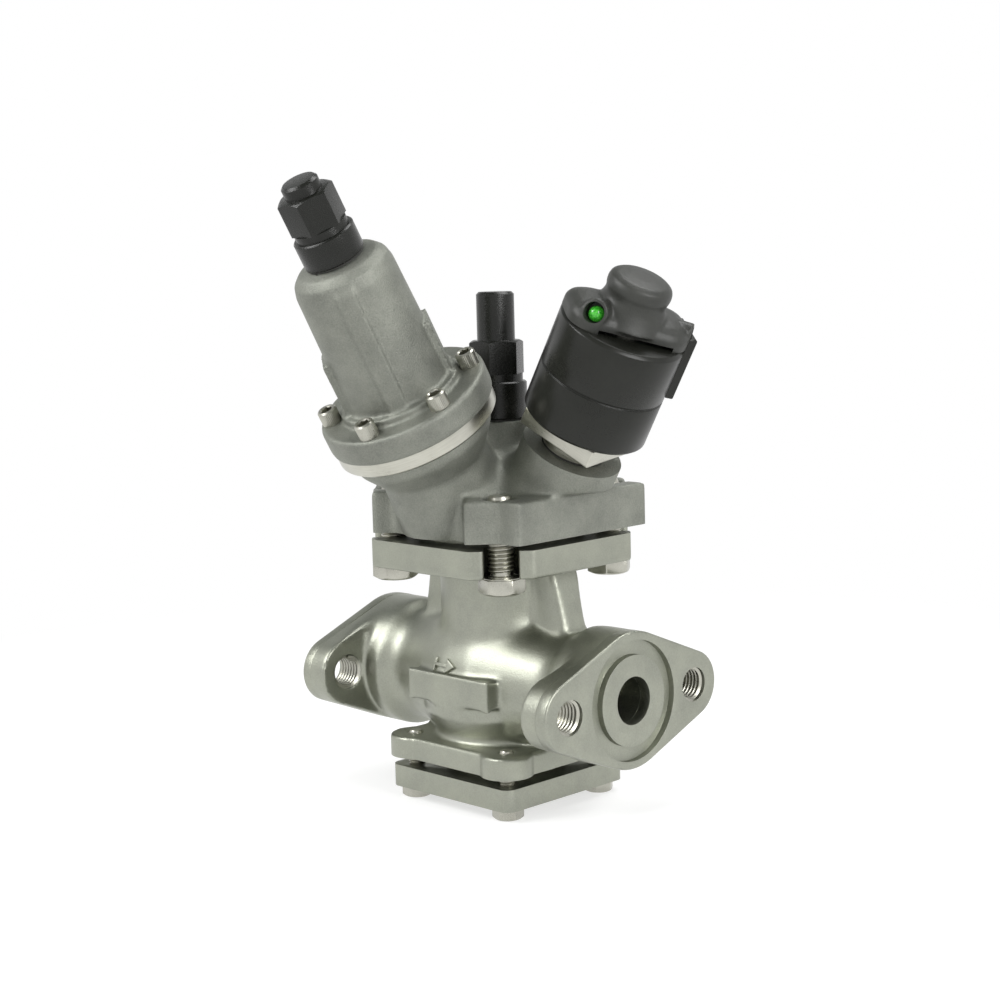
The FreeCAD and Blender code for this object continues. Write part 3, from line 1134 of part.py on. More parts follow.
def make_coil_cover():
    """the bridge across the coil, its knob and the two lamps in their holders"""
    cover = on_solenoid("coil_cover", "coil_top")
    ends = (("bridge_reach * cos(bridge_angle)", "bridge_reach * sin(bridge_angle)", "bridge_end_radius"),
            ("-bridge_reach * cos(bridge_angle)", "-bridge_reach * sin(bridge_angle)", "bridge_end_radius"))
    pad(cover, "bridge", belt(cover, "bridge_outline", "XY", ends), "bridge_height")
    turn(cover, "knob", (
        ("0", "0"), ("knob_waist_radius", "0"), ("knob_waist_radius", "bridge_height + knob_rim_step"),
        ("knob_radius", "bridge_height + 2 * knob_rim_step"), ("knob_radius", "knob_height - knob_rounding"),
        ("knob_radius - knob_rounding * (1 - cos(45))", "knob_height - knob_rounding * (1 - sin(45))"),
        ("knob_radius - knob_rounding", "knob_height"), ("0", "knob_height")))
    for name in ("near", "far"):
        lamp = on_solenoid("lamp_" + name, "coil_top")
        floor = "lamp_holder_length - lamp_length - lamp_recess"
        for piece, cut, radius, start, length in (
                (cover, False, "lamp_holder_radius", "0", "lamp_holder_length"),
                (cover, True, "lamp_radius", floor, "lamp_length + lamp_recess"),
                (lamp, False, "lamp_radius", floor, "lamp_length")):
            made = feature(piece, "SubtractiveCylinder" if cut else "AdditiveCylinder",
                           name + ("_recess" if cut else "_round"))
            bind(made, Radius=radius, Height=length)
            angle = name + "_lamp_angle"
            x = "%s_lamp_along + (%s) * cos(%s)" % (name, start, angle)
            y = "%s_lamp_across + (%s) * sin(%s)" % (name, start, angle)
            base = Rotation(Vector(0, 0, 1), number(angle)) * Rotation(Vector(0, 1, 0), 90)
            made.Placement = Placement(Vector(number(x), number(y), number("lamp_height")), base)
            for place, text in (("x", x), ("y", y), ("z", "lamp_height")):
                made.setExpression("Placement.Base." + place, on_sheet(text))
    column(cover, "clip_space", "clip_radius + clip_room", "0", "tube_top - coil_top + clip_room", cut=True)


make_main_body()
gasket = upright("cover_gasket", GASKET_FLOOR)
ring_piece(gasket, "piston_bore_radius", "joint_radius", "0", "gasket_thickness")
make_lower_joint()
make_trim()
make_pilot_cover()
hex_bolts("cover_bolts", "cover_bolt", "top_flange_height", PAD_TOP + " + bolt_end")
foot = upright("manual_foot", "manual_foot_rest")
column(foot, "disc", "packing_radius", "0", "manual_foot_height")
column(foot, "stub", "stub_radius", "manual_foot_height", "manual_foot_height + stub_height")
seal_stack(upright, ("manual_stem", "manual_packing", "manual_gland", "manual_cap_gasket", "manual_cap"),
           "stem_boss_height", FOOT_TOP, "manual_skirt_height",
           "manual_button_radius", "manual_button_height")
make_regulator()
seal_stack(on_regulator, ("adjusting_stem", "regulator_packing", "regulator_gland", "regulator_cap_gasket",
                          "regulator_cap"),
           "(%s)" % BONNET_TOP, UPPER_REST + " + rest_height", "regulator_skirt_height",
           "regulator_button_radius", "regulator_button_height")
make_solenoid()

doc.recompute()
faults = [thing.Label for thing in doc.Objects if "Invalid" in thing.State or "Error" in thing.State]
pieces = [thing for thing in doc.Objects if thing.TypeId in ("PartDesign::Body", "Part::Feature")]
faults += [piece.Label for piece in pieces if piece.Shape.isNull() or not piece.Shape.isValid()]
if faults:
    raise RuntimeError("not built: " + ", ".join(faults))
os.makedirs("parts", exist_ok=True)
for piece in pieces:
    piece.Shape.exportStep("parts/%s.step" % piece.Label)
print(len(pieces), "pieces written")
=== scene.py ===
"""The dressed pressure regulator valve: castings, machined parts, screws, black caps and the coil.

Metres, in the row frame: the origin is the middle of the inlet port's face, +X runs to the outlet
and +Z is up. A turned or screwed piece is modelled upright at the origin in millimetres, and its place
is then put into its mesh. Heights on a leaning pilot are counted from the face of its boss.
"""
import json
import math

import bpy
from mathutils import Matrix, Vector


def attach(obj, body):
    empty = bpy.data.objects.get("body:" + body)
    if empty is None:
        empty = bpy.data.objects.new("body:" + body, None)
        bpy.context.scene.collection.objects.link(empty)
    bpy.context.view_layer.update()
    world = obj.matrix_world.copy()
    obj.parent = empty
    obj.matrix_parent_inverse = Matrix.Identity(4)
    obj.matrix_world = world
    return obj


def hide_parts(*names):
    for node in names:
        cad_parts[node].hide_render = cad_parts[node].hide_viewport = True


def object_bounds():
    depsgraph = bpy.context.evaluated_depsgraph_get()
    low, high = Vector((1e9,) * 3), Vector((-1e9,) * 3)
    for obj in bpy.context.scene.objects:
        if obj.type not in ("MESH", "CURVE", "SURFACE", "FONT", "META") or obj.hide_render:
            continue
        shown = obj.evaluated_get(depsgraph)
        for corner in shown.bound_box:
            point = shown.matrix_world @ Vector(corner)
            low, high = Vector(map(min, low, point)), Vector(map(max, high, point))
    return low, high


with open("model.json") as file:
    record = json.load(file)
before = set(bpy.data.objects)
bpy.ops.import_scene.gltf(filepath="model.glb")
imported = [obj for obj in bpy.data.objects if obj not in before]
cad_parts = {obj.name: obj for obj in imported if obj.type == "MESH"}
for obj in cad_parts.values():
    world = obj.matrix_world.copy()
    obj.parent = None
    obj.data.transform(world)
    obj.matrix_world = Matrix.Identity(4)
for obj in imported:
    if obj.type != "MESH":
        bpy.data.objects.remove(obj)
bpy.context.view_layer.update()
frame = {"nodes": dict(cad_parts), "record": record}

MM = 0.001
FULL_TURN = 2 * math.pi
LEAN = math.radians(30)

# places on the valve, in millimetres
MIDDLE = 83.1
TOP_FLANGE_FACE, COVER_FLOOR, PAD_TOP = 70.8, 74.0, 94.0
LOW_FLANGE_FACE = -37.0
BOLT_OFFSET, LOW_BOLT_OFFSET = 36.3, 31.2
EAR_OFFSET = 42.5
SPLIT = 6.0
REGULATOR_ROOT, REGULATOR_REACH = 35.2, 103.7
SOLENOID_ROOT, SOLENOID_REACH = 30.0, 96.5
STEM_BOSS_TOP = 125.0
RING_TOP, FLANGE_TOP, BONNET_TOP = 7.7, 19.5, 91.0
SCREW_CIRCLE, SCREW_ANGLE = 34.0, 46.7
COIL_TOP = 66.0
BRIDGE_TURN = 58.0
NECK_HEIGHT = 12.0
EAR_HOLE, EAR_THREAD_ROOT, EAR_THREAD_CREST = 7.1, 8.15, 6.95
COVER_HOLE, COVER_HOLE_SHOWN = 6.4, 7.3
LOW_BOLT_CORE = 3.1
MACHINING_STOCK = 3.0
CAST_CELL = 1.05

UPRIGHT = Matrix.Translation((MIDDLE * MM, 0, 0))
REGULATOR = (UPRIGHT @ Matrix.Translation((0, 0, REGULATOR_ROOT * MM)) @ Matrix.Rotation(LEAN, 4, "X")
             @ Matrix.Translation((0, 0, REGULATOR_REACH * MM)))
SOLENOID = (UPRIGHT @ Matrix.Translation((0, 0, SOLENOID_ROOT * MM)) @ Matrix.Rotation(LEAN, 4, "Y")
            @ Matrix.Translation((0, 0, SOLENOID_REACH * MM)))
INLET = Matrix.Rotation(math.radians(-90), 4, "Y")
OUTLET = Matrix.Translation((2 * MIDDLE * MM, 0, 0)) @ Matrix.Rotation(math.radians(90), 4, "Y")
CORNERS = [(x, y) for x in (-1, 1) for y in (-1, 1)]


# camera and light

def add_camera():
    """the photograph's view: from between the outlet and the regulator, a little above the flow line"""
    around, above, roll = math.radians(45.386), math.radians(7.575), math.radians(-1.545)
    distance = 0.9589
    back = Vector((math.sin(around) * math.cos(above), -math.cos(around) * math.cos(above),
                   math.sin(above)))
    right = Vector((math.cos(around), math.sin(around), 0))
    aim = Vector((MIDDLE * MM, 0, 0.0861)) - 0.0002 * right
    level = Matrix((right, back.cross(right), back)).transposed()
    bpy.ops.object.camera_add()
    camera = bpy.context.object
    camera.name = "camera"
    camera.matrix_world = Matrix.Translation(aim + distance * back) @ (
        level @ Matrix.Rotation(roll, 3, "Z")).to_4x4()
    camera.data.lens = 72
    camera.data.sensor_width = 36
    bpy.context.scene.camera = camera


def add_lamp(name, place, size, power):
    """a large soft lamp that looks at the middle of the valve"""
    bpy.ops.object.light_add(type="AREA", location=place)
    lamp = bpy.context.object
    lamp.name = name
    lamp.data.size = size
    lamp.data.energy = power
    lamp.rotation_euler = (Vector((0.083, 0, 0.08)) - Vector(place)).to_track_quat("-Z", "Y").to_euler()


def add_studio():
    """a white floor and backdrop, a dimmer room above them and three soft lamps"""
    add_lamp("key_lamp", (-0.35, -1.0, 0.95), 0.7, 13)
    add_lamp("side_lamp", (1.25, -0.1, 0.6), 0.6, 9)
    add_lamp("top_lamp", (0.3, 0.5, 1.3), 0.7, 9)
    world = bpy.data.worlds.new("studio")
    bpy.context.scene.world = world
    world.use_nodes = True
    tree = world.node_tree
    tree.nodes.clear()
    way = add_node(tree, "ShaderNodeTexCoord")
    height = add_node(tree, "ShaderNodeSeparateXYZ", {"Vector": (way, "Generated")})
    room = add_node(tree, "ShaderNodeValToRGB", {"Fac": (height, "Z")})
    room.color_ramp.elements[0].position = 0.22
    room.color_ramp.elements[0].color = linear("FFFFFF")
    room.color_ramp.elements[1].position = 0.75
    room.color_ramp.elements[1].color = linear("8E918F")
    seen = add_node(tree, "ShaderNodeBackground", {"Color": (room, 0)}, Strength=1.0)
    light = add_node(tree, "ShaderNodeBackground", Color=linear("E4E6E4"), Strength=0.55)
    shown = add_node(tree, "ShaderNodeMixShader", {0: seen_ray(tree), 1: (light, 0), 2: (seen, 0)})
    add_node(tree, "ShaderNodeOutputWorld", {"Surface": (shown, 0)})
    deselect()
    bpy.ops.mesh.primitive_plane_add(size=6, location=(MIDDLE * MM, 0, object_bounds()[0][2]))
    floor = bpy.context.object
    floor.name = "floor"
    finish(floor, floor_paper())


def seen_ray(tree):
    """1 for the rays that show a backdrop: the camera's, a reflection's or one through glass"""
    path = add_node(tree, "ShaderNodeLightPath")
    either = add_node(tree, "ShaderNodeMath", {0: (path, "Is Camera Ray"), 1: (path, "Is Glossy Ray")},
                      {"operation": "MAXIMUM"})
    return add_node(tree, "ShaderNodeMath", {0: (either, 0), 1: (path, "Is Transmission Ray")},
                    {"operation": "MAXIMUM"}), 0


# small tools

def linear(hexed):
    """the linear colour of an sRGB hex value"""
    parts = [int(hexed[i:i + 2], 16) / 255 for i in (0, 2, 4)]
    return tuple(p / 12.92 if p <= 0.04045 else ((p + 0.055) / 1.055) ** 2.4 for p in parts) + (1.0,)


def add_node(tree, kind, links=None, props=None, **settings):
    """adds a node, sets its properties and sockets and links its inputs from (node, output) pairs"""
    made = tree.nodes.new(kind)
    for name, value in (props or {}).items():
        setattr(made, name, value)
    for name, value in settings.items():
        made.inputs[name.replace("_", " ")].default_value = value
    for name, (source, output) in (links or {}).items():
        tree.links.new(source.outputs[output], made.inputs[name])
    return made


def finish(piece, material):
    piece.data.materials.clear()
    piece.data.materials.append(material)


def deselect():
    bpy.ops.object.select_all(action="DESELECT")


def alone(piece):
    deselect()
    piece.select_set(True)
    bpy.context.view_layer.objects.active = piece


def edit(piece, action="SELECT"):
    """goes into edit mode with everything or nothing selected"""
    alone(piece)
    bpy.ops.object.mode_set(mode="EDIT")
    bpy.ops.mesh.select_all(action=action)


def leave():
    bpy.ops.object.mode_set(mode="OBJECT")


def pick(piece, test):
    """goes into edit mode with only the faces whose middle and normal pass a test"""
    edit(piece, "DESELECT")
    bpy.ops.mesh.select_mode(type="FACE")
    leave()
    for face in piece.data.polygons:
        face.select = test(face.center, face.normal)
    bpy.ops.object.mode_set(mode="EDIT")


def shape(piece, kind, **settings):
    """adds a modifier to a piece and applies it"""
    alone(piece)
    made = piece.modifiers.new(kind.lower(), kind)
    for name, value in settings.items():
        setattr(made, name, value)
    bpy.ops.object.modifier_apply(modifier=made.name)


def smooth(piece, angle=35):
    alone(piece)
    bpy.ops.object.shade_smooth_by_angle(angle=math.radians(angle))


def soften(piece, width_mm, segments=2, angle=30):
    """bevels the edges sharper than an angle"""
    shape(piece, "BEVEL", width=width_mm * MM, segments=segments, limit_method="ANGLE",
          angle_limit=math.radians(angle), use_clamp_overlap=True)


def cut(piece, tool, operation="DIFFERENCE"):
    """cuts a piece with another, which is then thrown away"""
    shape(piece, "BOOLEAN", operation=operation, object=tool, solver="EXACT")
    bpy.data.objects.remove(tool)


def stand(piece, where, x=0.0, y=0.0, height=0.0, turn=0.0):
    """puts the place of a piece modelled at the origin into its mesh"""
    place = (Matrix.Translation((x * MM, y * MM, height * MM))
             @ Matrix.Rotation(math.radians(turn), 4, "Z"))
    piece.data.transform(where @ place @ piece.matrix_world)
    piece.matrix_world = Matrix()
    return piece


def twin(piece, where=None, **place):
    """a copy of a piece with its own mesh, put at a place"""
    made = piece.copy()
    made.data = piece.data.copy()
    bpy.context.collection.objects.link(made)
    if where is not None:
        stand(made, where, **place)
    return made


def node_copy(node):
    """a merged copy of a CAD node's mesh"""
    made = twin(frame["nodes"][node])
    made.parent = None
    made.matrix_world = Matrix()
    shape(made, "WELD", merge_threshold=0.00001)
    return made


def join(pieces):
    """several pieces as one mesh"""
    deselect()
    for piece in pieces:
        piece.select_set(True)
    bpy.context.view_layer.objects.active = pieces[0]
    bpy.ops.object.join()
    return pieces[0]


def body_of(node):
    return next(name for name, nodes in frame["record"]["behaviour"]["bodies"].items() if node in nodes)


def slot_of(node):
    return next(part["material_slot"] for part in frame["record"]["subparts"] if part["node"] == node)


def settle(piece, name, node, material, stands_for=True):
    """names a piece, gives it a material and the body of a CAD node, and hides the node when the piece
    stands for it
    """
    piece.name = name
    finish(piece, material)
    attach(piece, body_of(node))
    if stands_for:
        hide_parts(node)
    slot_of(node)
    return piece


# turned and screwed shapes

def draw_line(points):
    """edges through (x, z) points in millimetres, left in edit mode"""
    deselect()
    bpy.ops.mesh.primitive_plane_add(size=MM)
    bpy.ops.object.mode_set(mode="EDIT")
    bpy.ops.mesh.select_mode(type="VERT")
    bpy.ops.mesh.select_all(action="SELECT")
    bpy.ops.mesh.merge(type="CENTER")
    bpy.ops.transform.translate(value=(points[0][0] * MM, 0, points[0][1] * MM))
    for (x, z), (next_x, next_z) in zip(points, points[1:]):
        step = ((next_x - x) * MM, 0, (next_z - z) * MM)
        bpy.ops.mesh.extrude_vertices_move(TRANSFORM_OT_translate={"value": step})
    return bpy.context.object


def turned(outline, steps=72):
    """a piece turned about Z from (radius, height) points"""
    ends = [outline[0][0], outline[-1][0]]
    piece = draw_line(list(outline) + ([outline[0]] if min(ends) > 0 else []))
    bpy.ops.mesh.select_all(action="SELECT")
    bpy.ops.mesh.spin(steps=steps, angle=FULL_TURN, center=(0, 0, 0), axis=(0, 0, 1))
    bpy.ops.mesh.select_all(action="SELECT")
    bpy.ops.mesh.remove_doubles(threshold=0.000005)
    bpy.ops.mesh.normals_make_consistent(inside=False)
    leave()
    return piece


def thread(root, crest, pitch, low, high, steps=48):
    """the flanks of a screw thread between two heights, from a root radius to a crest radius"""
    flat = 0.12 * pitch
    piece = draw_line(((root, 0), (crest, pitch / 2 - flat), (crest, pitch / 2 + flat), (root, pitch)))
    leave()
    shape(piece, "SCREW", axis="Z", angle=FULL_TURN, screw_offset=pitch * MM, steps=steps,
          render_steps=steps, iterations=max(1, round((high - low) / pitch) - 1),
          use_merge_vertices=False)
    edit(piece)
    bpy.ops.mesh.remove_doubles(threshold=0.000005)
    bpy.ops.mesh.normals_make_consistent(inside=False)
    if crest < root:
        bpy.ops.mesh.flip_normals()
    leave()
    return stand(piece, Matrix(), height=low)


def prism(sides, flats, low, high, turn=0.0):
    """an upright prism, its size given across its flats"""
    deselect()
    corner = flats / 2 / math.cos(math.pi / sides)
    bpy.ops.mesh.primitive_cylinder_add(vertices=sides, radius=corner * MM, depth=(high - low) * MM)
    piece = bpy.context.object
    piece.data.transform(Matrix.Translation((0, 0, (low + high) / 2 * MM))
                         @ Matrix.Rotation(math.radians(turn), 4, "Z"))
    return piece


# materials

def metal(name, light, dark, grain_mm, rough, bump, sparkle=0.05, cloud_mm=16, metallic=1.0,
          tool_marks=None, reflection=0.5):
    """a surface whose colour and roughness wander, with grain or tool marks of a size in millimetres"""
    material = bpy.data.materials.new(name)
    material.use_nodes = True
    tree = material.node_tree
    tree.nodes.clear()
    place = add_node(tree, "ShaderNodeTexCoord")
    pattern = (place, "Object")
    if tool_marks:
        laid = add_node(tree, "ShaderNodeMapping", {"Vector": pattern}, Rotation=tool_marks)
        drawn = add_node(tree, "ShaderNodeMapping", {"Vector": (laid, 0)}, Scale=(0.04, 0.04, 1.0))
        pattern = (drawn, 0)
    fine = add_node(tree, "ShaderNodeTexNoise", {"Vector": pattern}, Scale=1 / (grain_mm * MM),
                    Detail=3.0, Roughness=0.55)
    broad = add_node(tree, "ShaderNodeTexNoise", {"Vector": (place, "Object")},
                     Scale=1 / (cloud_mm * MM), Detail=4.0, Roughness=0.6)
    mixed = add_node(tree, "ShaderNodeMix", {"A": (broad, 0), "B": (fine, 0)}, Factor=0.45)
    tint = add_node(tree, "ShaderNodeValToRGB", {"Fac": (mixed, 0)})
    tint.color_ramp.elements[0].position = 0.34
    tint.color_ramp.elements[0].color = linear(dark)
    tint.color_ramp.elements[1].position = 0.66
    tint.color_ramp.elements[1].color = linear(light)
    gloss = add_node(tree, "ShaderNodeMapRange", {"Value": (mixed, 0)}, From_Min=0.3, From_Max=0.7,
                     To_Min=rough - sparkle, To_Max=rough + sparkle)
    relief = add_node(tree, "ShaderNodeBump", {"Height": (fine, 0)}, Strength=bump,
                      Distance=grain_mm * MM / 2)
    surface = add_node(tree, "ShaderNodeBsdfPrincipled", {
        "Base Color": (tint, 0), "Roughness": (gloss, 0), "Normal": (relief, 0)}, Metallic=metallic,
        Specular_IOR_Level=reflection)
    add_node(tree, "ShaderNodeOutputMaterial", {"Surface": (surface, 0)})
    return material


def cast_stainless():
    """precision-cast stainless steel, glass-blasted and pickled: satin, faintly warm, finely grained"""
    return metal("cast_stainless", "A6A89B", "92948A", 0.7, 0.41, 0.3)


def blasted_casting():
    """a shot-blasted casting left dull: darker, grainy and with little shine"""
    return metal("blasted_casting", "94968D", "757770", 0.7, 0.55, 0.8, 0.06, metallic=0.85)


def turned_stainless(name, lean):
    """turned stainless steel, bright, with fine tool marks square to its axis"""
    return metal(name, "C6C5BB", "B0AFA4", 0.35, 0.3, 0.1, 0.05, tool_marks=lean)


def screw_stainless():
    """rolled and pickled stainless screws: a soft shine, with a grain just coarse enough to show"""
    return metal("screw_stainless", "BDBCB2", "A6A59B", 0.5, 0.3, 0.08)


def moulded(name, light, dark, grain_mm, rough, bump, reflection=0.5):
    """a moulded, enamelled or fibrous surface with a fine skin, which doesn't conduct"""
    return metal(name, light, dark, grain_mm, rough, bump, 0.05, metallic=0.0, reflection=reflection)


def green_lens():
    """a clear green polycarbonate lens with a lit lamp behind it, whose cells are about 0.9 mm wide"""
    material = bpy.data.materials.new("green_lens")
    material.use_nodes = True
    tree = material.node_tree
    tree.nodes.clear()
    place = add_node(tree, "ShaderNodeTexCoord")
    cells = add_node(tree, "ShaderNodeTexVoronoi", {"Vector": (place, "Object")}, Scale=1100.0)
    tint = add_node(tree, "ShaderNodeValToRGB", {"Fac": (cells, "Distance")})
    tint.color_ramp.elements[0].color = linear("4FC23A")
    tint.color_ramp.elements[1].color = linear("0F6B12")
    surface = add_node(tree, "ShaderNodeBsdfPrincipled",
                       {"Base Color": (tint, 0), "Emission Color": (tint, 0)},
                       Roughness=0.1, Emission_Strength=0.2, IOR=1.58)
    add_node(tree, "ShaderNodeOutputMaterial", {"Surface": (surface, 0)})
    return material


def floor_paper():
    """matt white paper: near the valve it shows the shadow, further off it is the white backdrop"""
    material = bpy.data.materials.new("floor_paper")
    material.use_nodes = True
    tree = material.node_tree
    tree.nodes.clear()
    place = add_node(tree, "ShaderNodeTexCoord")
    fibres = add_node(tree, "ShaderNodeTexNoise", {"Vector": (place, "Object")}, Scale=400.0)
    tint = add_node(tree, "ShaderNodeMix", {"Factor": (fibres, 0)}, {"data_type": "RGBA"})
    tint.inputs["A"].default_value = linear("F6F6F5")
    tint.inputs["B"].default_value = linear("F2F2F0")
    paper = add_node(tree, "ShaderNodeBsdfDiffuse", {"Color": (tint, "Result")})
    half = add_node(tree, "ShaderNodeBsdfDiffuse", Color=linear("B4B4B4"))
    glow = add_node(tree, "ShaderNodeEmission", Color=linear("FFFFFF"), Strength=0.62)
    near = add_node(tree, "ShaderNodeAddShader", {0: (half, 0), 1: (glow, 0)})
    white = add_node(tree, "ShaderNodeEmission", Color=linear("FFFFFF"), Strength=1.0)
    reach = add_node(tree, "ShaderNodeVectorMath", {0: (place, "Object")}, {"operation": "LENGTH"})
    away = add_node(tree, "ShaderNodeMapRange", {"Value": (reach, "Value")},
                    From_Min=0.16, From_Max=0.55)
    shown = add_node(tree, "ShaderNodeMixShader", {0: (away, 0), 1: (near, 0), 2: (white, 0)})
    surface = add_node(tree, "ShaderNodeMixShader", {0: seen_ray(tree), 1: (paper, 0), 2: (shown, 0)})
    add_node(tree, "ShaderNodeOutputMaterial", {"Surface": (surface, 0)})
    return material


# castings

def push(piece, test, move):
    """moves the points of a mesh that pass a test"""
    for point in piece.data.vertices:
        if test(point.co):
            point.co = move(point.co)


def melt(piece, voxel_mm, rounds):
    """runs a casting's edges and inner corners together, as the mould does"""
    shape(piece, "REMESH", mode="VOXEL", voxel_size=voxel_mm * MM)
    shape(piece, "SMOOTH", factor=0.5, iterations=rounds)
    smooth(piece, 60)


def face_off(piece, place, way, reach_mm=None):
    """cuts off what stands beyond a plane, over the whole piece or near a point of the plane"""
    near = (reach_mm or 1000) * MM
    pick(piece, lambda middle, normal: abs((middle - place).dot(way)) < near / 3
         and (middle - place).length < near)
    bpy.ops.mesh.bisect(plane_co=place, plane_no=way, use_fill=True, clear_outer=True)
    leave()


def lift_face(piece, place, way, reach_mm):
    """leaves stock on a machined face before the casting's edges are rounded"""
    push(piece, lambda p: abs((p - place).dot(way)) < 0.06 * MM and (p - place).length < reach_mm * MM,
         lambda p: p + way * MACHINING_STOCK * MM)


def ear_distance(point):
    """from the axis of the nearer tapped hole of the end flanges"""
    return math.hypot(abs(point.y) - EAR_OFFSET * MM, point.z)


def open_ears(piece):
    """widens the tapped holes of the end flanges to the root of their threads"""
    def move(point):
        side = EAR_OFFSET * MM if point.y > 0 else -EAR_OFFSET * MM
        stretch = EAR_THREAD_ROOT * MM / ear_distance(point)
        return Vector((point.x, side + (point.y - side) * stretch, point.z * stretch))

    push(piece, lambda p: abs(ear_distance(p) - EAR_HOLE * MM) < 0.2 * MM, move)


def close_low_holes(body):
    """draws the low flange's tapped holes in against the bolts that fill them"""
    def middle(point):
        return Vector((math.copysign(LOW_BOLT_OFFSET, point.x - MIDDLE * MM) + MIDDLE,
                       math.copysign(LOW_BOLT_OFFSET, point.y), 0)) * MM

    def move(point):
        axis = middle(point)
        reach = (point - axis).to_2d().normalized() * LOW_BOLT_CORE * MM
        return Vector((axis.x + reach.x, axis.y + reach.y, point.z))

    push(body, lambda p: p.z < -15 * MM and (p - middle(p)).to_2d().length < 4.7 * MM, move)


def make_body_casting(material, tapped):
    """the body with its edges run together, its crisp end flanges, their threads and the flow arrow"""
    body = node_copy("main_body")
    flange = twin(body)
    open_ears(flange)
    open_ears(body)
    close_low_holes(body)
    up, down = Vector((0, 0, 1)), Vector((0, 0, -1))
    stock = MACHINING_STOCK * MM
    push(body, lambda p: p.z > (TOP_FLANGE_FACE - 0.1) * MM, lambda p: p + up * stock)
    push(body, lambda p: p.z < (LOW_FLANGE_FACE + 0.1) * MM, lambda p: p + down * stock)
    melt(body, CAST_CELL, 5)
    smooth_near(body, root_distance, 26, 120)
    face_off(body, Vector((0, 0, TOP_FLANGE_FACE * MM)), up)
    face_off(body, Vector((0, 0, LOW_FLANGE_FACE * MM)), down)
    face_off(body, Vector((SPLIT * MM, 0, 0)), Vector((-1, 0, 0)))
    face_off(body, Vector(((2 * MIDDLE - SPLIT) * MM, 0, 0)), Vector((1, 0, 0)))
    smooth(body, 50)
    pieces = [body]
    for place, way in ((SPLIT, 1), (2 * MIDDLE - SPLIT, -1)):
        end = twin(flange)
        face_off(end, Vector((place * MM, 0, 0)), Vector((way, 0, 0)))
        soften(end, 0.45, 2, 32)
        smooth(end)
        pieces.append(end)
    bpy.data.objects.remove(flange)
    tooth = thread(EAR_THREAD_ROOT + 0.15, EAR_THREAD_CREST, 2.0, -16.2, 0)
    threads = []
    for where in (INLET, OUTLET):
        for side in (-1, 1):
            threads.append(smooth_twin(tooth, where, y=side * EAR_OFFSET))
    bpy.data.objects.remove(tooth)
    settle(join(threads), "ear_threads", "main_body", tapped, stands_for=False)
    for radius, low, high in ((40.0, TOP_FLANGE_FACE, 72.0), (29.0, -39.0, LOW_FLANGE_FACE)):
        land = turned(((radius - 2.5, low), (radius, low), (radius, high), (radius - 2.5, high)))
        pieces.append(stand(land, UPRIGHT))
    settle(join(pieces), "body_casting", "main_body", material)
    settle(make_arrow(), "flow_arrow", "main_body", material, stands_for=False)


def smooth_twin(piece, where, **place):
    """a smoothly shaded copy of a piece, put at a place"""
    made = twin(piece, where, **place)
    smooth(made, 50)
    return made


def make_arrow():
    """the raised flow arrow on the barrel, a bar, a shaft and a head, over the machined face"""
    plates = []
    for x, length, height in ((0, 1.6, 6.2), (4.9, 8.6, 1.5)):
        deselect()
        bpy.ops.mesh.primitive_plane_add(size=MM)
        plates.append(bpy.context.object)
        edit(plates[-1])
        bpy.ops.transform.resize(value=(length, height, 1))
        bpy.ops.transform.translate(value=(x * MM, 0, 0))
        leave()
    deselect()
    bpy.ops.mesh.primitive_circle_add(vertices=3, radius=3.8 * MM, fill_type="NGON",
                                      rotation=(0, 0, -math.pi / 2), location=(10.6 * MM, 0, 0))
    plates.append(stand(bpy.context.object, Matrix()))
    arrow = join(plates)
    edit(arrow)
    bpy.ops.mesh.quads_convert_to_tris()
    bpy.ops.mesh.subdivide(number_cuts=4)
    leave()
    place = Matrix.Translation(Vector((MIDDLE - 12, -60, 10.9)) * MM)
    arrow.data.transform(place @ Matrix.Rotation(math.pi / 2, 4, "X"))
    shape(arrow, "SHRINKWRAP", target=bpy.data.objects["body_casting"], wrap_method="PROJECT",
          use_project_y=True, use_negative_direction=False, use_positive_direction=True,
          offset=1.5 * MM)
    shape(arrow, "SOLIDIFY", thickness=2 * MM, offset=-1)
    shape(arrow, "BEVEL", width=0.3 * MM, segments=2, limit_method="ANGLE",
          angle_limit=math.radians(50))
    smooth(arrow, 50)
    return arrow


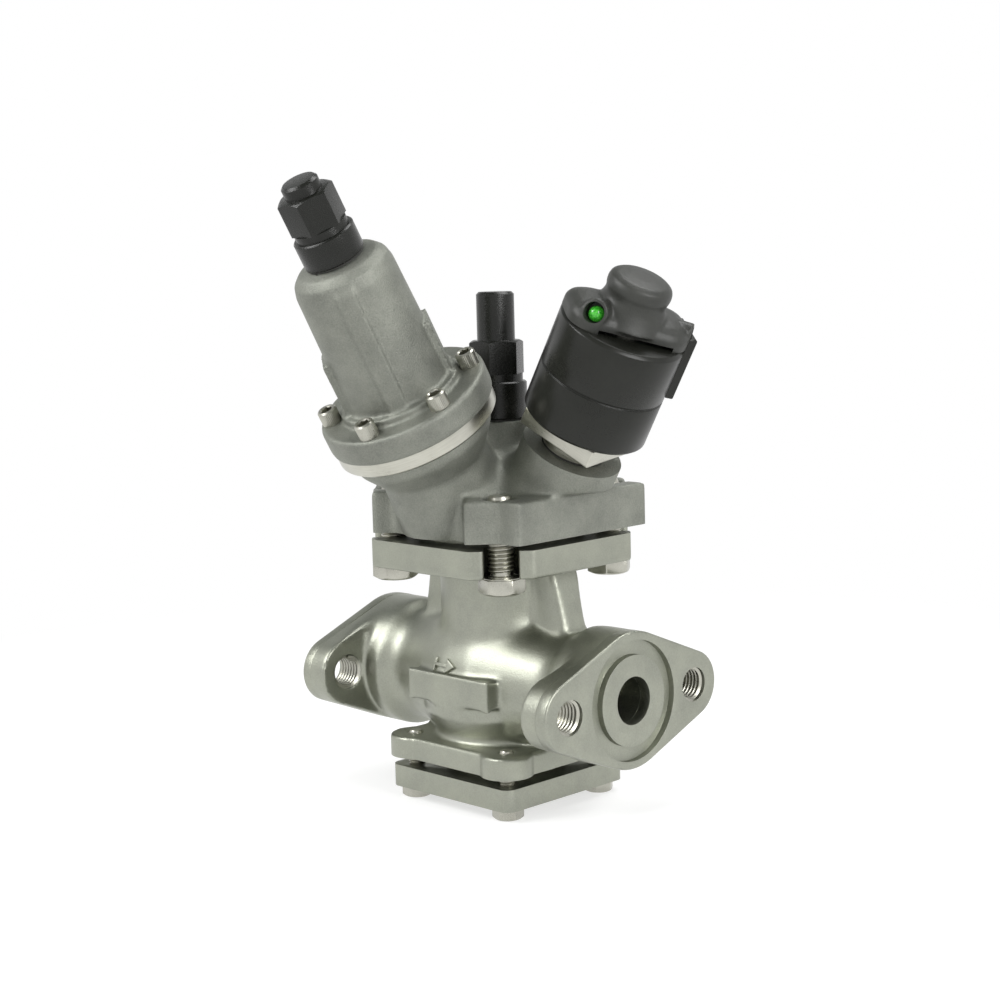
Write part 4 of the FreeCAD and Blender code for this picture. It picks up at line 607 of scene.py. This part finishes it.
def make_cover_casting(material):
    """the pilot cover with its edges and roots run together and its machined faces cut again"""
    cover = node_copy("pilot_cover")
    boss_face = UPRIGHT @ Vector((0, 0, STEM_BOSS_TOP * MM))
    faces = ((REGULATOR @ Vector(), REGULATOR.to_3x3() @ Vector((0, 0, 1)), 37),
             (SOLENOID @ Vector(), SOLENOID.to_3x3() @ Vector((0, 0, 1)), 28))
    down = Vector((0, 0, -1))
    neck = UPRIGHT @ Vector((0, 0, (STEM_BOSS_TOP + NECK_HEIGHT) * MM))
    stock = MACHINING_STOCK * MM
    push(cover, lambda p: abs(p.z - neck.z) < 0.1 * MM,
         lambda p: Vector((p.x, p.y, boss_face.z + stock)))
    push(cover, lambda p: abs(p.z - boss_face.z) < 0.05 * MM, lambda p: p + Vector((0, 0, stock)))
    push(cover, lambda p: p.z < (COVER_FLOOR + 0.1) * MM, lambda p: p + down * stock)
    for place, way, reach in faces:
        lift_face(cover, place, way, reach)
    widen_bolt_holes(cover)
    deselect()
    bpy.ops.mesh.primitive_cube_add(size=MM)
    web = stand(bpy.context.object, Matrix())
    web.data.transform(Matrix.Translation(Vector((MIDDLE, -37, 80)) * MM)
                       @ Matrix.Diagonal((46, 21, 20, 1)))
    rim = stand(turned(((15, -9), (25.5, -9), (25.5, 3), (15, 3))), REGULATOR)
    cover = join([cover, web, rim])
    melt(cover, CAST_CELL, 22)
    smooth_near(cover, valley_distance, 18, 350)
    face_off(cover, Vector((0, 0, COVER_FLOOR * MM)), down)
    for place, way, reach in faces:
        face_off(cover, place, way, reach + 7)
    # the cut is centred a little away from the pilots, so that it doesn't reach into their roots
    face_off(cover, boss_face + Vector((0, 3 * MM, 0)), Vector((0, 0, 1)), 21)
    smooth(cover, 50)
    pieces = [cover]
    land = turned(((37.5, 72.8), (40, 72.8), (40, COVER_FLOOR), (37.5, COVER_FLOOR)))
    pieces.append(stand(land, UPRIGHT))
    collar = turned(((28, -5), (33.4, -5), (33.4, 0), (28, 0)))
    pieces.append(stand(collar, REGULATOR))
    pieces.append(make_neck(UPRIGHT, STEM_BOSS_TOP))
    settle(join(pieces), "cover_casting", "pilot_cover", material)


def valley_distance(point):
    """from the hollow between the two pilots' roots, in millimetres"""
    low = Vector((MIDDLE + 22, -22, 92))
    high = Vector((MIDDLE + 12, -12, 118))
    away = point / MM - low
    along = min(1, max(0, away.dot(high - low) / (high - low).length_squared))
    return (away - along * (high - low)).length


def root_distance(point):
    """from the corners where the neck rises from the barrel, in millimetres"""
    return (Vector((0, abs(point.y), point.z)) / MM - Vector((0, 24, 30))).length


def smooth_near(piece, distance, reach, rounds):
    """smooths a piece further where a distance is less than a reach, both in millimetres"""
    group = piece.vertex_groups.new(name="soft")
    for point in piece.data.vertices:
        weight = 1.6 * (1 - distance(point.co) / reach)
        if weight > 0:
            group.add([point.index], min(1, weight), "REPLACE")
    shape(piece, "SMOOTH", factor=0.5, iterations=rounds, vertex_group=group.name)


def widen_bolt_holes(cover):
    """leaves a fine ring round the ends of the bolts"""
    def distance(point):
        return math.hypot(abs(point.x - MIDDLE * MM) - BOLT_OFFSET * MM, abs(point.y) - BOLT_OFFSET * MM)

    def move(point):
        x = (MIDDLE + math.copysign(BOLT_OFFSET, point.x - MIDDLE * MM)) * MM
        y = math.copysign(BOLT_OFFSET * MM, point.y)
        stretch = COVER_HOLE_SHOWN * MM / distance(point)
        return Vector((x + (point.x - x) * stretch, y + (point.y - y) * stretch, point.z))

    push(cover, lambda p: abs(distance(p) - COVER_HOLE * MM) < 0.1 * MM, move)


def make_neck(where, height):
    """a threaded neck, which shows once its seal cap is off"""
    core = turned(((8, 0), (10.2, 0), (10.2, 11.3), (9.6, NECK_HEIGHT), (8, NECK_HEIGHT)))
    flanks = thread(10.1, 10.95, 1.5, 1.2, 11.2)
    neck = join([core, flanks])
    smooth(neck, 40)
    return stand(neck, where, height=height)


def make_bonnet_casting(material):
    """the spring bonnet with its edges run together, on a flat foot, and its threaded neck"""
    bonnet = node_copy("regulator_bonnet")
    axis = REGULATOR.to_3x3() @ Vector((0, 0, 1))
    foot = REGULATOR @ Vector((0, 0, RING_TOP * MM))
    top = REGULATOR @ Vector((0, 0, BONNET_TOP * MM))
    neck = REGULATOR @ Vector((0, 0, (BONNET_TOP + NECK_HEIGHT) * MM))
    push(bonnet, lambda p: abs((p - neck).dot(axis)) < 0.1 * MM, lambda p: p - axis * 9 * MM)
    push(bonnet, lambda p: abs((p - foot).dot(axis)) < 0.1 * MM, lambda p: p - axis * 2.5 * MM)
    melt(bonnet, 0.85, 7)
    face_off(bonnet, foot, -axis, 46)
    face_off(bonnet, top, axis, 16)
    smooth(bonnet, 50)
    bonnet = join([bonnet, make_neck(REGULATOR, BONNET_TOP)])
    settle(bonnet, "bonnet_casting", "regulator_bonnet", material)


# screws

def bevelled_hexagon(flats, low, high, both=False):
    """a hexagon whose corners are turned off at its outer end, or at both"""
    head = prism(6, flats, low, high)
    corner, drop = flats / 2 / math.cos(math.pi / 6) + 0.3, 0.16 * flats
    slope = drop * math.tan(math.radians(28))
    outline = [(0, low), (corner - drop, low), (corner, low + slope),
               (corner, high - slope if both else high)]
    outline += [(corner - drop, high), (0, high)] if both else [(0, high)]
    cut(head, turned(outline), "INTERSECT")
    soften(head, 0.18, 1, 25)
    return head


def make_bolt(radius, root, pitch, flats, head, under, end, thread_from):
    """a hexagon bolt that points up, its head under the height it is tightened against"""
    pieces = [bevelled_hexagon(flats, under - head, under - 0.4)]
    washer = flats / 2 - 0.4
    pieces.append(turned(((0, under - 0.5), (washer, under - 0.5), (washer, under), (0, under))))
    pieces.append(turned(((0, under), (radius, under), (radius, thread_from - 0.5), (root, thread_from),
                          (root, end - 1.0), (root - 0.6, end), (0, end)), 48))
    pieces.append(thread(root - 0.02, radius, pitch, thread_from, end - 0.8))
    bolt = join(pieces)
    smooth(bolt, 35)
    return bolt


def make_hex_bolts(material):
    """four half-inch bolts through the cover and four of 8 mm through the bottom cover"""
    for node, offset, bolt in (
            ("cover_bolts", BOLT_OFFSET,
             make_bolt(6.3, 5.35, 1.95, 19.05, 7.9, 57.6, PAD_TOP + 1.1, 58.6)),
            ("bottom_bolts", LOW_BOLT_OFFSET,
             make_bolt(3.95, 3.3, 1.25, 13, 5.5, -52.4, -25.4, -47.5))):
        bolts = [twin(bolt, UPRIGHT, x=x * offset, y=y * offset, turn=23 * x + 11 * y) for x, y in CORNERS]
        bpy.data.objects.remove(bolt)
        settle(join(bolts), node.replace("_", "_hexagon_"), node, material)


def make_socket_screws(material):
    """six knurled socket screws on the bonnet's flange"""
    deselect()
    bpy.ops.mesh.primitive_cylinder_add(vertices=72, radius=4.6 * MM, depth=7.2 * MM,
                                        location=(0, 0, (FLANGE_TOP + 3.6) * MM))
    head = stand(bpy.context.object, Matrix())
    grooves = [v.index for v in head.data.vertices
               if round(math.degrees(math.atan2(v.co.y, v.co.x)) / 5) % 2 == 0]
    for index in grooves:
        head.data.vertices[index].co.x *= 0.965
        head.data.vertices[index].co.y *= 0.965
    limit = turned(((0, FLANGE_TOP), (4.6, FLANGE_TOP), (4.6, FLANGE_TOP + 6.5), (3.9, FLANGE_TOP + 7.2),
                    (0, FLANGE_TOP + 7.2)))
    cut(head, limit, "INTERSECT")
    cut(head, prism(6, 5.0, FLANGE_TOP + 3.4, FLANGE_TOP + 8))
    cut(head, turned(((0, FLANGE_TOP + 6.4), (2.4, FLANGE_TOP + 6.4), (3.4, FLANGE_TOP + 7.6),
                      (0, FLANGE_TOP + 7.6)), 48))
    shank = turned(((0, RING_TOP - 6.2), (3, RING_TOP - 6.2), (3, FLANGE_TOP), (0, FLANGE_TOP)), 24)
    screw = join([head, shank])
    smooth(screw, 30)
    screws = []
    for step in range(6):
        angle = math.radians(SCREW_ANGLE + 60 * step)
        screws.append(twin(screw, REGULATOR, x=SCREW_CIRCLE * math.cos(angle),
                           y=SCREW_CIRCLE * math.sin(angle), turn=17 * step))
    bpy.data.objects.remove(screw)
    settle(join(screws), "bonnet_socket_screws", "bonnet_screws", material)


# machined and moulded pieces

def make_bright_ring(material):
    """the turned ring under the bonnet, its edges broken"""
    ring = turned((
        (5, -12), (11.95, -12), (11.95, 0), (37.9, 0), (38.9, 0.9), (39, 1.2), (39, 7.2),
        (38.5, RING_TOP), (29.55, RING_TOP), (29.55, 7.3), (23, 7.3), (21, 5.3), (5, 5.3)), 128)
    smooth(ring, 30)
    settle(stand(ring, REGULATOR), "turned_ring", "diaphragm_ring", material)


def make_dome(rings, corner):
    """a dome over (height, half length, half width) blocks with rounded corners"""
    deselect()
    bpy.ops.mesh.primitive_plane_add(size=2 * MM, location=(0, 0, rings[0][0] * MM))
    dome = bpy.context.object
    edit(dome)
    bpy.ops.transform.resize(value=(rings[0][1], rings[0][2], 1))
    bpy.ops.mesh.bevel(affect="VERTICES", offset=corner * MM, segments=12)
    bpy.ops.mesh.select_all(action="SELECT")
    for (low, long, wide), (high, next_long, next_wide) in zip(rings, rings[1:]):
        bpy.ops.mesh.extrude_region_move(TRANSFORM_OT_translate={"value": (0, 0, (high - low) * MM)})
        bpy.ops.transform.resize(value=(next_long / long, next_wide / wide, 1))
    bpy.ops.mesh.select_all(action="SELECT")
    bpy.ops.mesh.normals_make_consistent(inside=False)
    leave()
    return stand(dome, Matrix())


def make_rod(radius, length, start, way):
    """a round rod from a point in a direction, in millimetres"""
    deselect()
    bpy.ops.mesh.primitive_cylinder_add(vertices=48, radius=radius * MM, depth=length * MM,
                                        location=(0, 0, length / 2 * MM))
    rod = stand(bpy.context.object, Matrix())
    turn = way.to_track_quat("Z", "Y").to_matrix().to_4x4()
    rod.data.transform(Matrix.Translation(Vector(start) * MM) @ turn)
    return rod


def make_adapter(material):
    """the forged adapter: its square with broken edges, its round neck and its spigot"""
    square = prism(4, 40.4, 6.4, 15, turn=55)
    cut(square, make_rod(7.6, 12, (0, 0, 5), Vector((0, 0, 1))))
    soften(square, 0.7, 3)
    neck = turned(((1.5, -10), (11.9, -10), (11.9, 0), (14.9, 0), (14.9, 8.5), (6.9, 8.5), (6.9, 1),
                   (2.8, 1), (2.8, 2), (1.5, 2)))
    adapter = join([square, neck])
    smooth(adapter, 35)
    settle(stand(adapter, SOLENOID), "forged_adapter", "solenoid_adapter", material)


def make_coil_cover(material, lens):
    """the moulded saddle across the coil: a low dome, the knob that grows out of it and two holders"""
    saddle = make_dome(((-2, 28.8, 17), (4.5, 28.8, 16.8), (7, 27.6, 15), (9, 25, 11.5),
                        (10.2, 21.5, 8), (10.8, 16, 5.5)), 12)
    knob = turned(((0, 0), (19.5, 4), (17, 8), (15.2, 11.5), (14.3, 14.5), (14.4, 16.2), (15.0, 17.8),
                   (15.1, 20.2), (14.4, 22.6), (11.8, 24.2), (6, 25), (0, 25.1)))
    place = {"height": COIL_TOP, "turn": BRIDGE_TURN}
    lamps = []
    for name, middle, around, above, lip in (
            ("near", (-17.8, -10.0, 7.2), -128, 14, 6.2), ("far", (25.4, -4.0, 6.2), -25, 8, 4.4)):
        turn, rise = math.radians(around), math.radians(above)
        way = Vector((math.cos(turn) * math.cos(rise), math.sin(turn) * math.cos(rise), math.sin(rise)))
        lamps.append((name, Vector(middle), way, lip))
    holders = [make_rod(lip, 8.4, middle - way * 4, way) for name, middle, way, lip in lamps]
    cover = join([saddle, knob] + holders)
    melt(cover, 0.6, 14)
    face_off(cover, Vector(), Vector((0, 0, -1)))
    for name, middle, way, lip in lamps:
        cut(cover, make_rod(lip - 1.5, 12, middle - way * 2, way))
        bpy.ops.mesh.primitive_uv_sphere_add(segments=32, ring_count=16, radius=(lip - 2.7) * MM)
        glass = stand(bpy.context.object, Matrix())
        glass.data.transform(Matrix.Translation((middle + way * 0.6 - Vector((0, 0, 0.7))) * MM))
        smooth(glass, 60)
        settle(stand(glass, SOLENOID, **place), "lens_" + name, "lamp_" + name, lens)
    deselect()
    bpy.ops.mesh.primitive_cube_add(size=MM)
    slot = stand(bpy.context.object, Matrix())
    slot.data.transform(Matrix.Translation(Vector((1.5, -15, 0.4)) * MM)
                        @ Matrix.Diagonal((36, 12, 3.4, 1)))
    cut(cover, slot)
    smooth(cover, 50)
    settle(stand(cover, SOLENOID, **place), "coil_saddle", "coil_cover", material)


def dress_node(node, material, bevel_mm=0.4, segments=2):
    """a CAD node's own shape with broken edges and a smooth skin"""
    piece = node_copy(node)
    soften(piece, bevel_mm, segments)
    smooth(piece)
    return settle(piece, node + "_skin", node, material)


def main():
    """the studio, a material for every piece of the frame, then the pieces with detail of their own"""
    bpy.context.scene.view_settings.view_transform = "Standard"
    add_camera()
    add_studio()
    cast, blasted, screws = cast_stainless(), blasted_casting(), screw_stainless()
    turned_up = turned_stainless("turned_stainless", (0, 0, 0))
    turned_ring = turned_stainless("turned_ring_stainless", (-LEAN, 0, 0))
    turned_coil = turned_stainless("turned_adapter_stainless", (0, -LEAN, 0))
    # black stove enamel on the forged caps: glossy, with an orange-peel skin
    black_cap = moulded("cap_enamel", "1B1C19", "131410", 0.6, 0.27, 0.3, 0.34)
    # glass-filled polyamide moulded round the coil: dark, with a smooth sheen down its side
    black_coil = moulded("coil_moulding", "1F201C", "171814", 0.4, 0.3, 0.05, 0.3)
    # the same plastic from a spark-textured mould: greyer and matt
    black_bridge = moulded("bridge_moulding", "333430", "2B2C29", 0.6, 0.46, 0.2, 0.45)
    # compressed fibre sheet: a dark, dull line between two castings
    gasket = moulded("gasket_fibre", "3A3A37", "2E2E2C", 0.6, 0.7, 0.2)
    # pressed polymer of the seals: pale and waxy
    seal = moulded("seal_plastic", "D8D6CC", "CBC9BF", 0.6, 0.5, 0.05)
    # turned brass of the spindles: a warm yellow shine under the caps
    brass = metal("turned_brass", "C9A75A", "B08F45", 0.4, 0.3, 0.05)
    # enamelled copper wire wound in layers: red-brown, finely ridged
    copper = metal("wound_copper", "B8713F", "9A5A30", 0.3, 0.35, 0.3)
    green = green_lens()
    finishes = {"cast_steel": cast, "blasted_steel": blasted, "bright_steel": turned_up,
                "screw_steel": screws, "spring_steel": screws, "brass": brass, "fibre_gasket": gasket,
                "seal_polymer": seal, "black_cap": black_cap, "black_coil": black_coil,
                "lamp_green": green, "copper_winding": copper}
    for part in frame["record"]["subparts"]:
        finish(frame["nodes"][part["node"]], finishes[part["material_slot"]])
    for node in ("manual_cap_gasket", "regulator_cap_gasket", "adapter_gasket"):
        finish(frame["nodes"][node], gasket)
    make_body_casting(cast, screws)
    make_cover_casting(blasted)
    make_bonnet_casting(blasted)
    make_hex_bolts(screws)
    make_socket_screws(screws)
    make_bright_ring(turned_ring)
    make_adapter(turned_coil)
    make_coil_cover(black_bridge, green)
    dress_node("bottom_cover", cast, 0.8, 3)
    for node in ("manual_cap", "regulator_cap", "terminal_box"):
        dress_node(node, finishes[slot_of(node)], 0.9, 3)
    dress_node("coil_housing", black_coil)


main()
